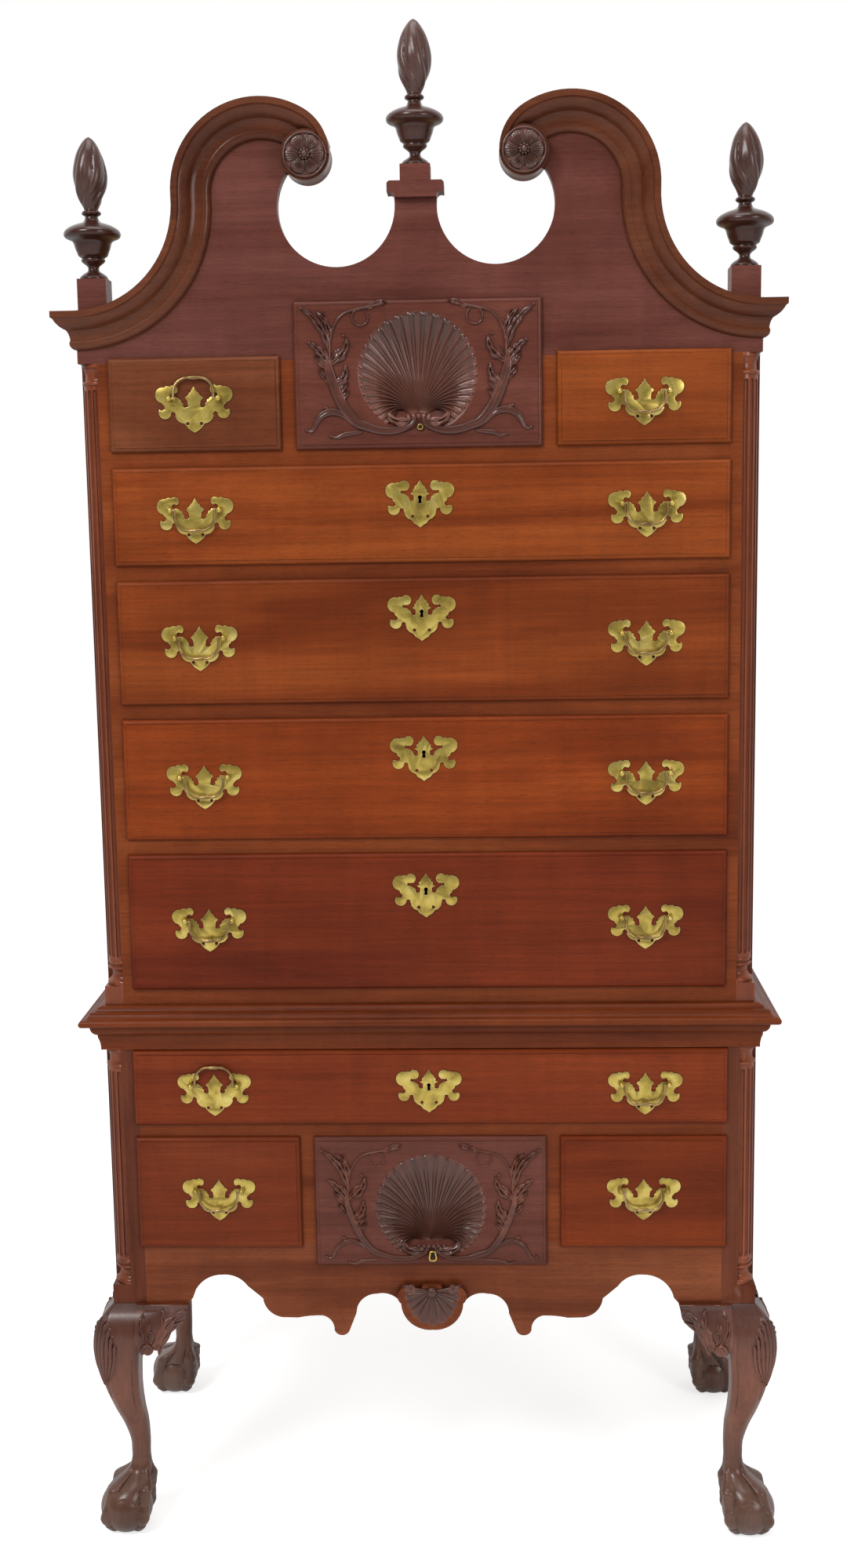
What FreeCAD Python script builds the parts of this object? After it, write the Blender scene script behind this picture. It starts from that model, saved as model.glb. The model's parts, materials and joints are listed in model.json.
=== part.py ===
import FreeCAD, Part
import os
from math import atan2, cos, degrees, pi, sin, sqrt

# Highboy: a chest of drawers on a cabriole-legged stand, with a scroll pediment.
# Millimetres. +Z is up, the front faces -Y, -X is the left side as seen from the front.
# The origin lies on the floor, midway between the four feet.

V = FreeCAD.Vector

# ---------------------------------------------------------------- cases
upper_half = 481.0          # half the width of the upper case
stand_depth = 461.0         # depth of the lower case, front face to back face
waist_step = 6.0            # the lower case stands out this far at its front and sides
side_board = 20.0           # thickness of the side boards
back_board = 12.0           # thickness of the back boards
back_planks = 4             # planks in the back of the upper case
frame_thick = 22.0          # thickness of the front boards, stiles and dividers
rail_deep = 60.0            # depth of the rails between the drawers
post_width = 51.0           # square posts at the corners of the lower case
knee_top = 373.0            # height where the cabriole legs end and the posts begin
foot_inset = 5.5            # foot centres, in from the faces of the lower case
bottom_board = 20.0         # thickness of the upper case's bottom and top boards

# ---------------------------------------------------------------- drawers
rail_show = 22.0            # rail left in sight between two drawers of the upper case
rail_show_low = 20.0        # the same in the lower case
divider_show = 20.5         # upright left in sight between two drawers
stile_show = 16.0           # upright left in sight between a quarter column and the drawers
shell_half = 174.0          # half the width of the carved middle drawers over the lip
lip_over = 6.0              # the lip covers the frame by this much all round
lip_thick = 8.0             # the lip stands this far in front of the frame
lip_step = 1.0              # the flat field stands this far in front of the moulded edge
lip_round = 5.5             # radius of the moulded edge
lip_gap = 0.3               # shut drawer, behind the lip
front_body = 14.0           # thickness of a drawer front behind the lip
shell_body = 22.0           # the same on the carved middle drawers
drawer_gap = 1.5            # drawer to opening, at each side and at the top
runner_gap = 0.4            # drawer side to the runner under it
drawer_board = 10.0         # thickness of drawer sides and backs
drawer_floor = 7.0          # thickness of drawer bottoms
floor_up = 6.0              # drawer bottom, above the lower edge of the sides
drawer_stop = 15.0          # shut drawer to the back boards
runner_wide = 20.0          # shelf under a drawer side
runner_thick = 20.0
guide_up = 20.0             # height of the strip that guides a drawer side

stand_small_low = 464.0     # lower edge of the lip, small drawers of the lower case
stand_shell_low = 436.0     # the same, middle drawer of the lower case
stand_small_high = 174.0    # heights over the lip
stand_long_high = 114.5
upper_base_show = 57.0      # case joint to the lip of the lowest upper drawer
upper_long_high = [203.5, 177.5, 178.0, 138.0]      # from the lowest to the highest
upper_small_high = 130.5
upper_shell_high = 204.0
top_rail_show = 35.5        # frame above the long drawer of the lower case, over its lip

shell_radius = 85.0         # carved concave shell
shell_deep = 15.0
shell_up = [0.51, 0.455]    # shell centre as a share of the front's height: upper, lower

# ---------------------------------------------------------------- quarter columns
column_radius = 27.0        # of the rings, and the side of the corner notch
shaft_radius = 24.5
column_flutes = 4
flute_radius = 3.3
upper_column_base = 869.0   # foot of the upper columns
stand_column_base = 402.0   # foot of the lower columns
base_high = 37.0            # moulded base
cap_high = 30.0             # moulded capital
flute_end = 6.0             # flutes stop this far from base and capital

# ---------------------------------------------------------------- waist moulding
waist_low = 774.0
waist_rise = 67.0           # height of the moulding
waist_out = 35.0            # its nose, out from the upper case

# ---------------------------------------------------------------- pediment
crown_top = 1845.0          # top of the level part of the crown moulding
crown_wide = 52.0           # width of the moulding's face
crown_out = 30.0            # how far it stands out
crown_hollow = 143.0        # radius of the first sweep, along the outer edge
crown_arch = 123.3          # radius of the second sweep
arch_x = 213.0              # centre of the second sweep
arch_z = 2001.0
scroll_end_x = 116.0        # inner end of each scroll
scroll_end_z = 2047.0
rosette_radius = 34.0
rosette_seat = 3.0          # rosette's back, behind the moulding's face
rosette_in = 3.0            # rosette's rim, inside the scroll's round end
rosette_out = 6.0           # thickness of a rosette
rosette_boss = 7.0          # radius of the bud in its middle
rosette_gap = 0.3           # round its edge in the seat
opening_x = 111.0           # round openings beside the neck
opening_z = 1982.0
opening_radius = 82.0
neck_half = 29.0
neck_top = 1991.0
plinth_half = 39.5          # moulded cap of the middle plinth
plinth_cap_high = 22.0
plinth_block_half = 21.0
plinth_block_high = 22.0
corner_block_half = 20.5
corner_block_high = 46.5
finial_high = 194.0
finial_rim = 40.0           # radius of the urn's rim
flame_radius = 23.7

# ---------------------------------------------------------------- apron
apron_end = 64.0            # straight lower edge of the apron beside the legs' posts
apron_shell_half = 47.0
apron_shell_low = 335.0
apron_shell_top = 405.0
apron_shell_out = 12.0      # relief of the apron's shell
side_arch = 36.0            # rise of the shaped lower edge of the side boards

# ---------------------------------------------------------------- feet
ball_radius = 40.0
ball_centre_z = 37.0
block_front = 9.0           # knee blocks stand this far in front of the frame

# ---------------------------------------------------------------- brass
plate_thick = 1.5
post_pitch = 70.0           # between the two posts of a pull
pull_in = 118.0             # middle of a pull, in from the end of a long drawer
upper_pull_rise = [4.0, 5.0, 7.0, 9.0]      # posts above the drawer's middle, lowest drawer first
upper_key_rise = [46.0, 36.0, 39.0, 20.0]   # keyholes above the drawer's middle, lowest first
small_pull_rise = 8.0                       # posts on the small upper drawers
stand_pull_rise = 5.0                       # posts in the lower case
stand_key_rise = 2.0
post_head = 4.2             # radius of the post's round head
post_out = 9.0              # bail axis, in front of the drawer's face
shank_radius = 2.4
shank_play = 0.1
nut_half = 5.0
nut_thick = 3.0
bail_rod = 1.9              # radius of the bail
bail_grip = 2.9             # radius of its grip
bail_drop = 29.0
bail_pin = 1.5
pin_play = 0.08
pin_seat = 4.0              # length of each pin inside its post
bail_back = 8.0             # degrees that a bail can swing back from hanging, or past upright
bail_clear = 0.5            # bail arm to post head
bail_corner = 20.0          # radius of the bail's lower corners

# ---------------------------------------------------------------- derived places
stand_half = upper_half + waist_step
stand_front = -stand_depth / 2
case_back = stand_depth / 2
upper_front = stand_front + waist_step
lip_half = upper_half - column_radius - stile_show         # half a long drawer, over its lip
open_half = lip_half - lip_over
pull_x = lip_half - pull_in
stand_lip = stand_half - post_width + lip_over
post_in = stand_half - post_width
stand_top = stand_small_low + stand_small_high + rail_show_low + stand_long_high + top_rail_show


# ================================================================ shape helpers
def box(x0, x1, y0, y1, z0, z1):
    return Part.makeBox(abs(x1 - x0), abs(y1 - y0), abs(z1 - z0), V(min(x0, x1), min(y0, y1), min(z0, z1)))


def face(path, place):
    """Flat face inside a closed path. An item (u, v) is a straight run to that point,
    (mu, mv, u, v) an arc through (mu, mv), and a list a smooth run through its points.
    place(u, v) gives the point in space."""
    edges = []
    here = place(*path[0])
    start = here
    for item in path[1:]:
        there = place(*(item[-1] if isinstance(item, list) else item[-2:]))
        if isinstance(item, list):
            curve = Part.BSplineCurve()
            curve.interpolate([here] + [place(*point) for point in item])
            edges.append(curve.toShape())
        elif len(item) == 4:
            edges.append(Part.Arc(here, place(*item[:2]), there).toShape())
        else:
            edges.append(Part.LineSegment(here, there).toShape())
        here = there
    if here.distanceToPoint(start) > 1e-6:
        edges.append(Part.LineSegment(here, start).toShape())
    return Part.Face(Part.Wire(edges))


def slab(path, y0, y1):
    """A board with the outline path in X and Z, from y0 to y1."""
    return face(path, lambda x, z: V(x, y0, z)).extrude(V(0, y1 - y0, 0))


def turned(path, x=0.0, y=0.0, z=0.0, angle=360):
    """A turning about the vertical axis at x, y. The path is in radius and height."""
    shape = face(path, lambda r, h: V(r, 0, h)).revolve(V(0, 0, 0), V(0, 0, 1), angle)
    shape.translate(V(x, y, z))
    return shape


def mirror_x(shape):
    return shape.mirror(V(0, 0, 0), V(1, 0, 0))


def both(shape):
    """The shape and its mirror image, as two pieces."""
    return [shape, mirror_x(shape)]


def join(shapes):
    return shapes[0].multiFuse(shapes[1:]).removeSplitter()


def export(node, solids):
    Part.makeCompound(solids).exportStep("parts/" + node + ".step")


# ================================================================ drawer layout
def row(name, body, x0, x1, low, high, pulls, key=None, shell=None):
    """One drawer: lip from x0 to x1 and from low upwards. pulls are (x, height of the posts
    above the middle, raised), key is the height of the keyhole above the middle."""
    front = upper_front if body == "upper" else stand_front
    return dict(name=name, case=body, x0=x0, x1=x1, low=low, top=low + high, mid=low + high / 2,
                pulls=pulls, key=key, shell=shell, front=front, face=front - lip_thick)


def drawer_rows():
    small_in = shell_half + divider_show
    small_mid = (small_in + lip_half) / 2
    rows = []
    low = stand_top + upper_base_show
    for index, high in enumerate(upper_long_high):
        rise = upper_pull_rise[index]
        name = "upper_long_" + str(len(upper_long_high) - index)
        rows.append(row(name, "upper", -lip_half, lip_half, low, high,
                        [(-pull_x, rise, False), (pull_x, rise, False)], upper_key_rise[index]))
        low += high + rail_show
    rows.append(row("upper_small_left", "upper", -lip_half, -small_in, low, upper_small_high,
                    [(-small_mid, small_pull_rise, True)]))
    rows.append(row("upper_shell", "upper", -shell_half, shell_half, low, upper_shell_high, [],
                    shell=shell_up[0]))
    rows.append(row("upper_small_right", "upper", small_in, lip_half, low, upper_small_high,
                    [(small_mid, small_pull_rise, False)]))
    low = stand_small_low
    rise = stand_pull_rise
    shell_high = stand_small_low + stand_small_high - stand_shell_low
    small_mid = (small_in + stand_lip) / 2
    rows.append(row("lower_small_left", "stand", -stand_lip, -small_in, low, stand_small_high,
                    [(-small_mid, rise, False)]))
    rows.append(row("lower_shell", "stand", -shell_half, shell_half, stand_shell_low, shell_high, [],
                    shell=shell_up[1]))
    rows.append(row("lower_small_right", "stand", small_in, stand_lip, low, stand_small_high,
                    [(small_mid, rise, False)]))
    low += stand_small_high + rail_show_low
    rows.append(row("lower_long", "stand", -stand_lip, stand_lip, low, stand_long_high,
                    [(-pull_x, rise, True), (pull_x, rise, False)], stand_key_rise))
    return rows


ROWS = drawer_rows()
NAMED = {r["name"]: r for r in ROWS}
small_top = NAMED["upper_small_left"]["top"] - lip_over     # top of the small drawers' openings
shell_top = NAMED["upper_shell"]["top"] - lip_over          # top of the carved drawer's opening
divider_in = shell_half - lip_over
divider_out = shell_half + divider_show + lip_over


# ================================================================ case
def case_sides():
    upper = box(upper_half - side_board, upper_half, upper_front + column_radius, case_back,
                stand_top, crown_top)
    y0 = stand_front + post_width
    y1 = case_back - post_width
    arch = [(y0, stand_top), (y0, knee_top), (y0 + 60, knee_top),
            (y0 + 75, knee_top + side_arch * 0.8, y0 + 110, knee_top + side_arch),
            (0, knee_top + side_arch * 0.45, y1 - 110, knee_top + side_arch),
            (y1 - 75, knee_top + side_arch * 0.8, y1 - 60, knee_top), (y1, knee_top), (y1, stand_top)]
    lower = face(arch, lambda y, z: V(stand_half - side_board, y, z)).extrude(V(side_board, 0, 0))
    return both(upper) + both(lower)


def case_backs():
    inside = upper_half - side_board
    step = (crown_top - stand_top) / back_planks
    planks = [box(-inside, inside, case_back - back_board, case_back, stand_top + i * step,
                  stand_top + (i + 1) * step) for i in range(back_planks)]
    well = divider_in + side_board
    planks.append(box(-well, well, case_back - back_board, case_back, crown_top,
                      shell_top + bottom_board))
    planks.append(box(-post_in, post_in, case_back - back_board, case_back, knee_top + side_arch, stand_top))
    return planks


def upper_boards():
    inside = upper_half - side_board
    y0 = upper_front + column_radius
    y1 = case_back - back_board
    behind = upper_front + frame_thick
    well = divider_in + side_board
    floor_board = box(-inside, inside, y0, y1, stand_top, stand_top + bottom_board)
    dust = box(well, inside, y0, y1, crown_top - bottom_board, crown_top)
    cheek = box(divider_in, well, behind, y1, small_top + drawer_gap, shell_top + drawer_gap)
    lid = box(-well, well, behind, y1, shell_top + drawer_gap, shell_top + bottom_board)
    return [floor_board, lid] + both(dust) + both(cheek)


def rail(half, front, low, top):
    return box(-half, half, front, front + rail_deep, low, top)


def upper_frame():
    first = NAMED["upper_long_4"]
    pieces = both(box(open_half, upper_half - column_radius, upper_front, upper_front + column_radius,
                      stand_top, small_top))
    pieces.append(box(-open_half, open_half, upper_front, upper_front + column_radius, stand_top,
                      first["low"] + lip_over))
    for number in (4, 3, 2, 1):
        top = NAMED["upper_long_" + str(number)]["top"]
        pieces.append(rail(open_half, upper_front, top - lip_over, top + rail_show + lip_over))
    shelf = NAMED["upper_shell"]["low"] + lip_over
    pieces += both(box(divider_in, divider_out, upper_front, upper_front + frame_thick, shelf, small_top))
    return pieces


def stand_frame():
    small = NAMED["lower_small_left"]
    long_one = NAMED["lower_long"]
    return [box(-post_in, post_in, stand_front, stand_front + frame_thick, long_one["top"] - lip_over,
                stand_top),
            rail(post_in, stand_front, small["top"] - lip_over, long_one["low"] + lip_over)
            ] + both(box(divider_in, divider_out, stand_front, stand_front + frame_thick,
                         small["low"] + lip_over, small["top"] - lip_over))


def runner(edge, wall, zb, y0, y1):
    """Shelf under a drawer side, and the strip beside it. edge is the opening's edge, and wall
    the far side of the strip."""
    inward = -1 if wall > edge else 1
    return [box(edge, edge + inward * runner_wide, y0, y1, zb - runner_thick, zb),
            box(edge, wall, y0, y1, zb - runner_thick, zb + guide_up)]


def drawer_runners():
    pieces = []
    middle = (divider_in + divider_out) / 2
    for r in ROWS:
        upper = r["case"] == "upper"
        outer = upper_half - side_board if upper else stand_half - side_board
        y0 = r["front"] + rail_deep
        y1 = case_back - back_board if upper else case_back - post_width
        for sign, edge in ((-1, r["x0"] + lip_over), (1, r["x1"] - lip_over)):
            wall = sign * outer if abs(edge) > divider_out + 1 else sign * middle
            if abs(edge) <= divider_out + 1 and r["shell"] is None:
                wall = (1 if edge > 0 else -1) * middle
            pieces += runner(edge, wall, r["low"] + lip_over, y0, y1)
    return pieces


# ================================================================ quarter columns
def column(base, top, cx, cy):
    """Fluted quarter column for the front right corner, centred on the notch's inner corner."""
    rings = [(0, 0), (column_radius, 0), (column_radius, 3),
             (column_radius - 0.9, 6, column_radius - 3, 8), (column_radius - 7, 15, column_radius - 4, 24),
             (column_radius - 1.5, 26.5, column_radius - 4, 29), (column_radius - 4, 31),
             (column_radius - 2, 33.5, shaft_radius - 0.5, base_high), (0, base_high)]
    cap = [(0, 0), (shaft_radius - 0.5, 0), (column_radius, 3, shaft_radius - 0.5, 6),
           (shaft_radius - 1.5, 7), (shaft_radius - 2.5, 14, column_radius - 3, cap_high - 8),
           (column_radius - 2, cap_high - 5), (column_radius, cap_high - 5), (column_radius, cap_high),
           (0, cap_high)]
    shaft_low = base + base_high
    shaft_top = top - cap_high
    shaft = turned([(0, 0), (shaft_radius, 0), (shaft_radius, shaft_top - shaft_low),
                    (0, shaft_top - shaft_low)], z=shaft_low, angle=90)
    low = shaft_low + flute_end + flute_radius
    run = shaft_top - flute_end - flute_radius - low
    for i in range(column_flutes):
        turn = (i + 0.5) * pi / 2 / column_flutes
        spot = V(shaft_radius * cos(turn), shaft_radius * sin(turn), low)
        flute = Part.makeCylinder(flute_radius, run, spot)
        ends = [Part.makeSphere(flute_radius, spot), Part.makeSphere(flute_radius, spot + V(0, 0, run))]
        shaft = shaft.cut(flute.multiFuse(ends))
    shape = join([shaft, turned(rings, z=base, angle=90), turned(cap, z=shaft_top, angle=90)])
    shape.rotate(V(0, 0, 0), V(0, 0, 1), -90)
    shape.translate(V(cx, cy, 0))
    return shape


def quarter_columns():
    upper = column(upper_column_base, small_top, upper_half - column_radius, upper_front + column_radius)
    lower = column(stand_column_base, waist_low, stand_half - column_radius, stand_front + column_radius)
    plain = box(upper_half - column_radius, upper_half, upper_front, upper_front + column_radius,
                stand_top, upper_column_base)
    return both(join([upper, plain])) + both(lower)


# ================================================================ mouldings
def mitred(path, half, front, back):
    """Front length and two returns of a moulding. The path is in distance out from the case's
    faces and in height. half is half the case's width."""
    far = 200.0
    bar = face(path, lambda p, z: V(-half - far, front - p, z)).extrude(V(2 * (half + far), 0, 0))
    wedge = Part.Face(Part.makePolygon([V(-half - far, front - far, 0), V(half + far, front - far, 0),
                                        V(half, front, 0), V(-half, front, 0),
                                        V(-half - far, front - far, 0)]))
    wedge = wedge.extrude(V(0, 0, crown_top + crown_wide))
    side = face(path, lambda p, z: V(half + p, front - far, z)).extrude(V(0, back - front + far, 0))
    return [bar.common(wedge)] + both(side.cut(wedge))


def waist_moulding():
    s = waist_step
    z = waist_low
    t = z + waist_rise
    n = waist_out
    path = [(s, z), (s + 2, z), (s + 2.6, z + 10, s + 5.5, z + 20), (s + 5.5, z + 23.5),
            (s + 12.3, z + 29, s + 15, z + 38.5), (n - 4, z + 40), (n, z + 45.5, n - 4, z + 51),
            (n - 11.5, z + 53, n - 15, t - 7.5), (n - 22, t - 6.5), (9, t - 1.8, 3, t), (0, t),
            (0, stand_top), (s, stand_top)]
    return mitred(path, upper_half, upper_front, case_back)


# Section of the crown moulding: inward from its outer edge, and out from the board.
CROWN_PATH = [(0, 0), (0, crown_out), (8.5, crown_out), (10.5, crown_out - 3),
              (19.5, crown_out - 9.5, 25, crown_out - 18), (30, 9.2, 39, 7.4), (40.5, 8.2),
              (48.5, 6.6, crown_wide, 0)]


def crown_sweeps():
    """Centre, radius, start and end angle of the three sweeps on the left, from the corner to
    the rosette, along the outer edge."""
    hollow_z = crown_top + crown_hollow
    reach = crown_hollow + crown_arch
    hollow_x = -arch_x - sqrt(reach ** 2 - (hollow_z - arch_z) ** 2)
    tip = atan2(arch_z - hollow_z, -arch_x - hollow_x)
    a = arch_x - scroll_end_x
    b = scroll_end_z - arch_z
    curl = (crown_arch ** 2 - a ** 2 - b ** 2) / (2 * (crown_arch - a))
    meet = atan2(b, a - curl)
    return [((hollow_x, hollow_z), crown_hollow, -pi / 2, tip),
            ((-arch_x, arch_z), crown_arch, pi + tip, meet),
            ((-scroll_end_x - curl, scroll_end_z), curl, meet, 0.0)]


def crown_side():
    """The swept left half of the crown: a level run, three sweeps and the scroll's round end."""
    sweeps = crown_sweeps()
    level = face(CROWN_PATH, lambda d, p: V(-upper_half - crown_out, upper_front - p, crown_top - d))
    level = level.extrude(V(sweeps[0][0][0] + upper_half + crown_out, 0, 0))
    near = upper_front - 2 * crown_out
    corner = Part.makePolygon([V(-upper_half, upper_front, 0), V(-upper_half - 2 * crown_out, near, 0),
                               V(0, near, 0), V(0, upper_front, 0), V(-upper_half, upper_front, 0)])
    mitre = Part.Face(corner).extrude(V(0, 0, 2 * crown_top))
    pieces = [level.common(mitre)]
    for (cx, cz), radius, start, end in sweeps:
        away = 1 if end > start else -1
        c, s = cos(start), sin(start)
        section = face(CROWN_PATH, lambda d, p: V(cx + (radius + away * d) * c, upper_front - p,
                                                  cz + (radius + away * d) * s))
        pieces.append(section.revolve(V(cx, 0, cz), V(0, -1, 0), degrees(end - start)))
    seat = upper_front - crown_out + rosette_seat
    pieces.append(scroll_disc(seat, upper_front))
    return join(pieces).cut(scroll_disc(seat - rosette_seat, seat, rosette_in - rosette_gap))


def scroll_disc(y0, y1, shrink=0.0):
    """The scroll's round end, from y0 to y1."""
    centre = V(-scroll_end_x - rosette_radius, y0, scroll_end_z)
    return Part.makeCylinder(rosette_radius - shrink, y1 - y0, centre, V(0, 1, 0))


def crown_moulding():
    level = [(p, crown_top - d) for d, p in [item[-2:] for item in CROWN_PATH]]
    arcs = []
    for item, end in zip(CROWN_PATH, level):
        arcs.append((item[1], crown_top - item[0]) + end if len(item) == 4 else end)
    returns = mitred(arcs, upper_half, upper_front, case_back)[1:]
    return both(crown_side()) + returns


def arc_item(centre, radius, start, end):
    middle = (start + end) / 2
    return (centre[0] + radius * cos(middle), centre[1] + radius * sin(middle),
            centre[0] + radius * cos(end), centre[1] + radius * sin(end))


def scroll_board():
    sweeps = crown_sweeps()
    path = [(0, small_top), (-upper_half, small_top), (-upper_half, crown_top), (sweeps[0][0][0], crown_top)]
    path += [arc_item(*sweep) for sweep in sweeps]
    path += [(-scroll_end_x, neck_top), (0, neck_top)]
    back = upper_front + frame_thick
    left = slab(path, upper_front, back)
    hole = Part.makeCylinder(opening_radius, frame_thick, V(-opening_x, upper_front, opening_z), V(0, 1, 0))
    left = left.cut(hole.cut(scroll_disc(upper_front, back))).fuse(scroll_disc(upper_front, back))
    board = join(both(left))
    return [board.cut(box(-divider_in, divider_in, upper_front, back, small_top, shell_top))]


def rosettes():
    y = upper_front - crown_out + rosette_seat
    near = y - rosette_out
    disc = scroll_disc(near, y, rosette_in)
    rim = [edge for edge in disc.Edges if edge.Closed and edge.CenterOfMass.y < near + 0.1]
    disc = disc.makeFillet(rosette_out * 0.7, rim)
    centre = V(-scroll_end_x - rosette_radius, near, scroll_end_z)
    bud = Part.makeSphere(rosette_boss, centre, V(0, -1, 0), 0, 90, 360)
    return both(disc.fuse(bud))


# ================================================================ plinths and finials
def finial_plinths():
    y = upper_front + frame_thick / 2
    half_deep = frame_thick / 2 + plinth_half - neck_half
    cap = face([(neck_half, 0), (neck_half + 1.5, 5, plinth_half - 1.5, 7), (plinth_half, 7),
                (plinth_half, plinth_cap_high - 3), (plinth_half - 3, plinth_cap_high),
                (0, plinth_cap_high), (0, 0)], lambda x, z: V(x, y - half_deep, neck_top + z))
    cap = cap.extrude(V(0, 2 * half_deep, 0))
    top = neck_top + plinth_cap_high
    block = box(-plinth_block_half, plinth_block_half, y - plinth_block_half, y + plinth_block_half, top,
                top + plinth_block_high)
    middle = join(both(cap) + [block])
    x, y = corner_place()
    h = corner_block_half
    corner = box(x - h, x + h, y - h, y + h, crown_top, crown_top + corner_block_high)
    return [middle] + both(corner.cut(scroll_board()[0]))


def corner_place():
    """Middle of the plinth over the right corner."""
    return upper_half - corner_block_half - 3.5, upper_front + corner_block_half + 1.5


def finial(x, y, z):
    """Footed urn with a broad domed lid, and a flame on top."""
    h = finial_high / 190.0
    r = finial_rim
    f = flame_radius
    urn = [(0, 0), (19, 0), (18.6, 2), (17, 5, 12, 7.5), (8.6, 10, 7.8, 14), (9, 16), (14.6, 22),
           (16.8, 24, 15.6, 27), (22.8, 38, 25.7, 51), (29.5, 55), (r - 2.5, 56.5),
           (r, 59.5, r - 1.5, 62.5), (r - 9, 70, 15, 74.5), (11, 77.5, 9.2, 84), (9.6, 85.8),
           (13.6, 88.8, 9.6, 91.8), (9.4, 94)]
    path = [tuple(v * h if i % 2 else v for i, v in enumerate(item)) for item in urn]
    path.append([(radius, height * h) for radius, height in (
        (12.5, 102), (f - 5.8, 114), (f - 1.2, 129), (f, 141), (f - 4.7, 163), (12.5, 177), (0, 190))])
    return turned(path, x, y, z)


def finials():
    x, y = corner_place()
    middle = finial(0, upper_front + frame_thick / 2, neck_top + plinth_cap_high + plinth_block_high)
    return [middle] + both(finial(x, y, crown_top + corner_block_high))


# ================================================================ apron
def apron():
    small = NAMED["lower_small_left"]["low"] + lip_over
    middle = NAMED["lower_shell"]["low"] + lip_over
    k = knee_top
    end = post_in - apron_end
    path = [(0, middle), (divider_in, middle), (divider_in, small), (post_in, small), (post_in, k),
            (end, k), (end - 7, k + 8), (end - 25, k + 36, end - 53, k + 45),
            (end - 75, k + 41, end - 91, k + 27), (end - 114, k + 7),
            (end - 124, k - 14, end - 144, k - 23.5), (205, k - 24), (190, k - 21.5, 168, k - 20.5),
            (156, k - 27, 150, k - 44), (139, k - 52.5, 127, k - 45), (116, k - 17),
            (106, k + 6, 84, k + 14.5), (62, k + 12.5, 46, k - 3), (40, k - 12), (0, k - 12)]
    board = join(both(slab(path, stand_front, stand_front + frame_thick)))
    return [board, apron_shell()]


def apron_shell():
    """Fan of the carved shell under the middle of the apron."""
    half = apron_shell_half
    low, top = apron_shell_low, apron_shell_top
    y0 = stand_front - apron_shell_out
    fan = [(0, low), (half * 0.62, low + 8, half, low + 42), (half, top - 6, half - 14, top - 4),
           (18, top - 10), (14, top), (0, top)]
    front = both(slab(fan, y0, stand_front))
    below = [(0, low), (half * 0.55, low + 9, half * 0.8, knee_top - 12), (0, knee_top - 12)]
    return join(front + both(slab(below, stand_front, stand_front + frame_thick)))


# ================================================================ legs
# Height, inner edge and outer edge of the leg, and the rounding of its corners as a share.
LEG_SECTIONS = [(knee_top, -51.0, 0.5, 0.06), (359, -50, 13, 0.10), (343, -47, 23, 0.17),
                (324, -43, 27.5, 0.25), (300, -40, 29, 0.32), (265, -37, 23.5, 0.36),
                (233, -37, 18, 0.38), (199, -39, 8, 0.40), (169, -43, -3, 0.42), (139, -44, -11, 0.44),
                (116, -43.5, -12, 0.44), (104, -43, -10, 0.44)]


def rounded_square(z, inner, outer, share):
    """Square wire between inner and outer in both X and Y, with rounded corners."""
    r = (outer - inner) * share
    a, b = inner, outer
    k = r * (1 - sqrt(0.5))
    path = [(a + r, a), (b - r, a), (b - k, a + k, b, a + r), (b, b - r), (b - k, b - k, b - r, b),
            (a + r, b), (a + k, b - k, a, b - r), (a, a + r), (a + k, a + k, a + r, a)]
    return face(path, lambda x, y: V(x, y, z)).OuterWire


# Height, middle and radius of the ankle where it spreads over the ball.
ANKLE = [(118, -27.7, 15.7), (104, -26, 18.2), (90, -20, 23.5), (75, -13, 29.5), (62, -8, 35),
         (50, -foot_inset, 38.5)]
# Claws: height, place across towards the outer and the inner side, and radius.
CLAW_LINE = [(118, -14, -41, 4), (103, -5, -40.5, 6), (88, 7, -40, 8), (72, 14, -39.5, 9.5),
             (56, 19, -38.5, 9.5), (40, 23.5, -38, 9.5), (25, 26, -38, 9.5), (12, 24.5, -35.5, 8),
             (1, 21, -32, 5.5)]


def rod(line, radii):
    """Round rod of changing radius along a line of points."""
    rings = []
    for i, radius in enumerate(radii):
        way = line[min(i + 1, len(line) - 1)] - line[max(i - 1, 0)]
        rings.append(Part.Wire(Part.makeCircle(radius, line[i], way)))
    return Part.makeLoft(rings, True, False)


def claw(outer_x, outer_y):
    """One claw, from the ankle over the ball to the floor, on the outer or the inner side."""
    line = [V(outer if outer_x else inner, outer if outer_y else inner, z) for z, outer, inner, _ in CLAW_LINE]
    return rod(line, [item[-1] for item in CLAW_LINE])


def knee_block():
    """Bracket between the knee and the apron, in the leg's own frame: under the front board."""
    k = knee_top
    end = -post_width - apron_end
    path = [(-36, k - 76), (-52, k - 75), (-61, k - 72, -68, k - 65), (-75, k - 56, -77, k - 48),
            (end + 31, k - 38, end + 17, k - 30), (end + 6, k - 24, end + 2, k - 8), (end, k), (-36, k)]
    return face(path, lambda x, z: V(x, block_front, z)).extrude(V(0, -block_front - frame_thick, 0))


def leg(front):
    """Leg of the right side, with its outer corner at the origin and its outer faces towards +X
    and +Y. front tells whether it carries a quarter column."""
    stem = Part.makeLoft([rounded_square(*section) for section in LEG_SECTIONS], True, False)
    post = box(-post_width, 0, -post_width, 0, knee_top, stand_top)
    if front:
        post = post.cut(box(-column_radius, 0, -column_radius, 0, stand_column_base, waist_low))
    ankle = rod([V(middle, middle, z) for z, middle, _ in ANKLE], [item[-1] for item in ANKLE])
    ball = Part.makeSphere(ball_radius, V(-foot_inset, -foot_inset, ball_centre_z))
    shape = stem.fuse(ankle).fuse(ball)
    for outer_x in (True, False):
        for outer_y in (True, False):
            shape = shape.fuse(claw(outer_x, outer_y))
    below = box(-stand_depth, stand_depth, -stand_depth, stand_depth, -ball_radius, 0)
    return shape.cut(below).fuse(post)


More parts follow.
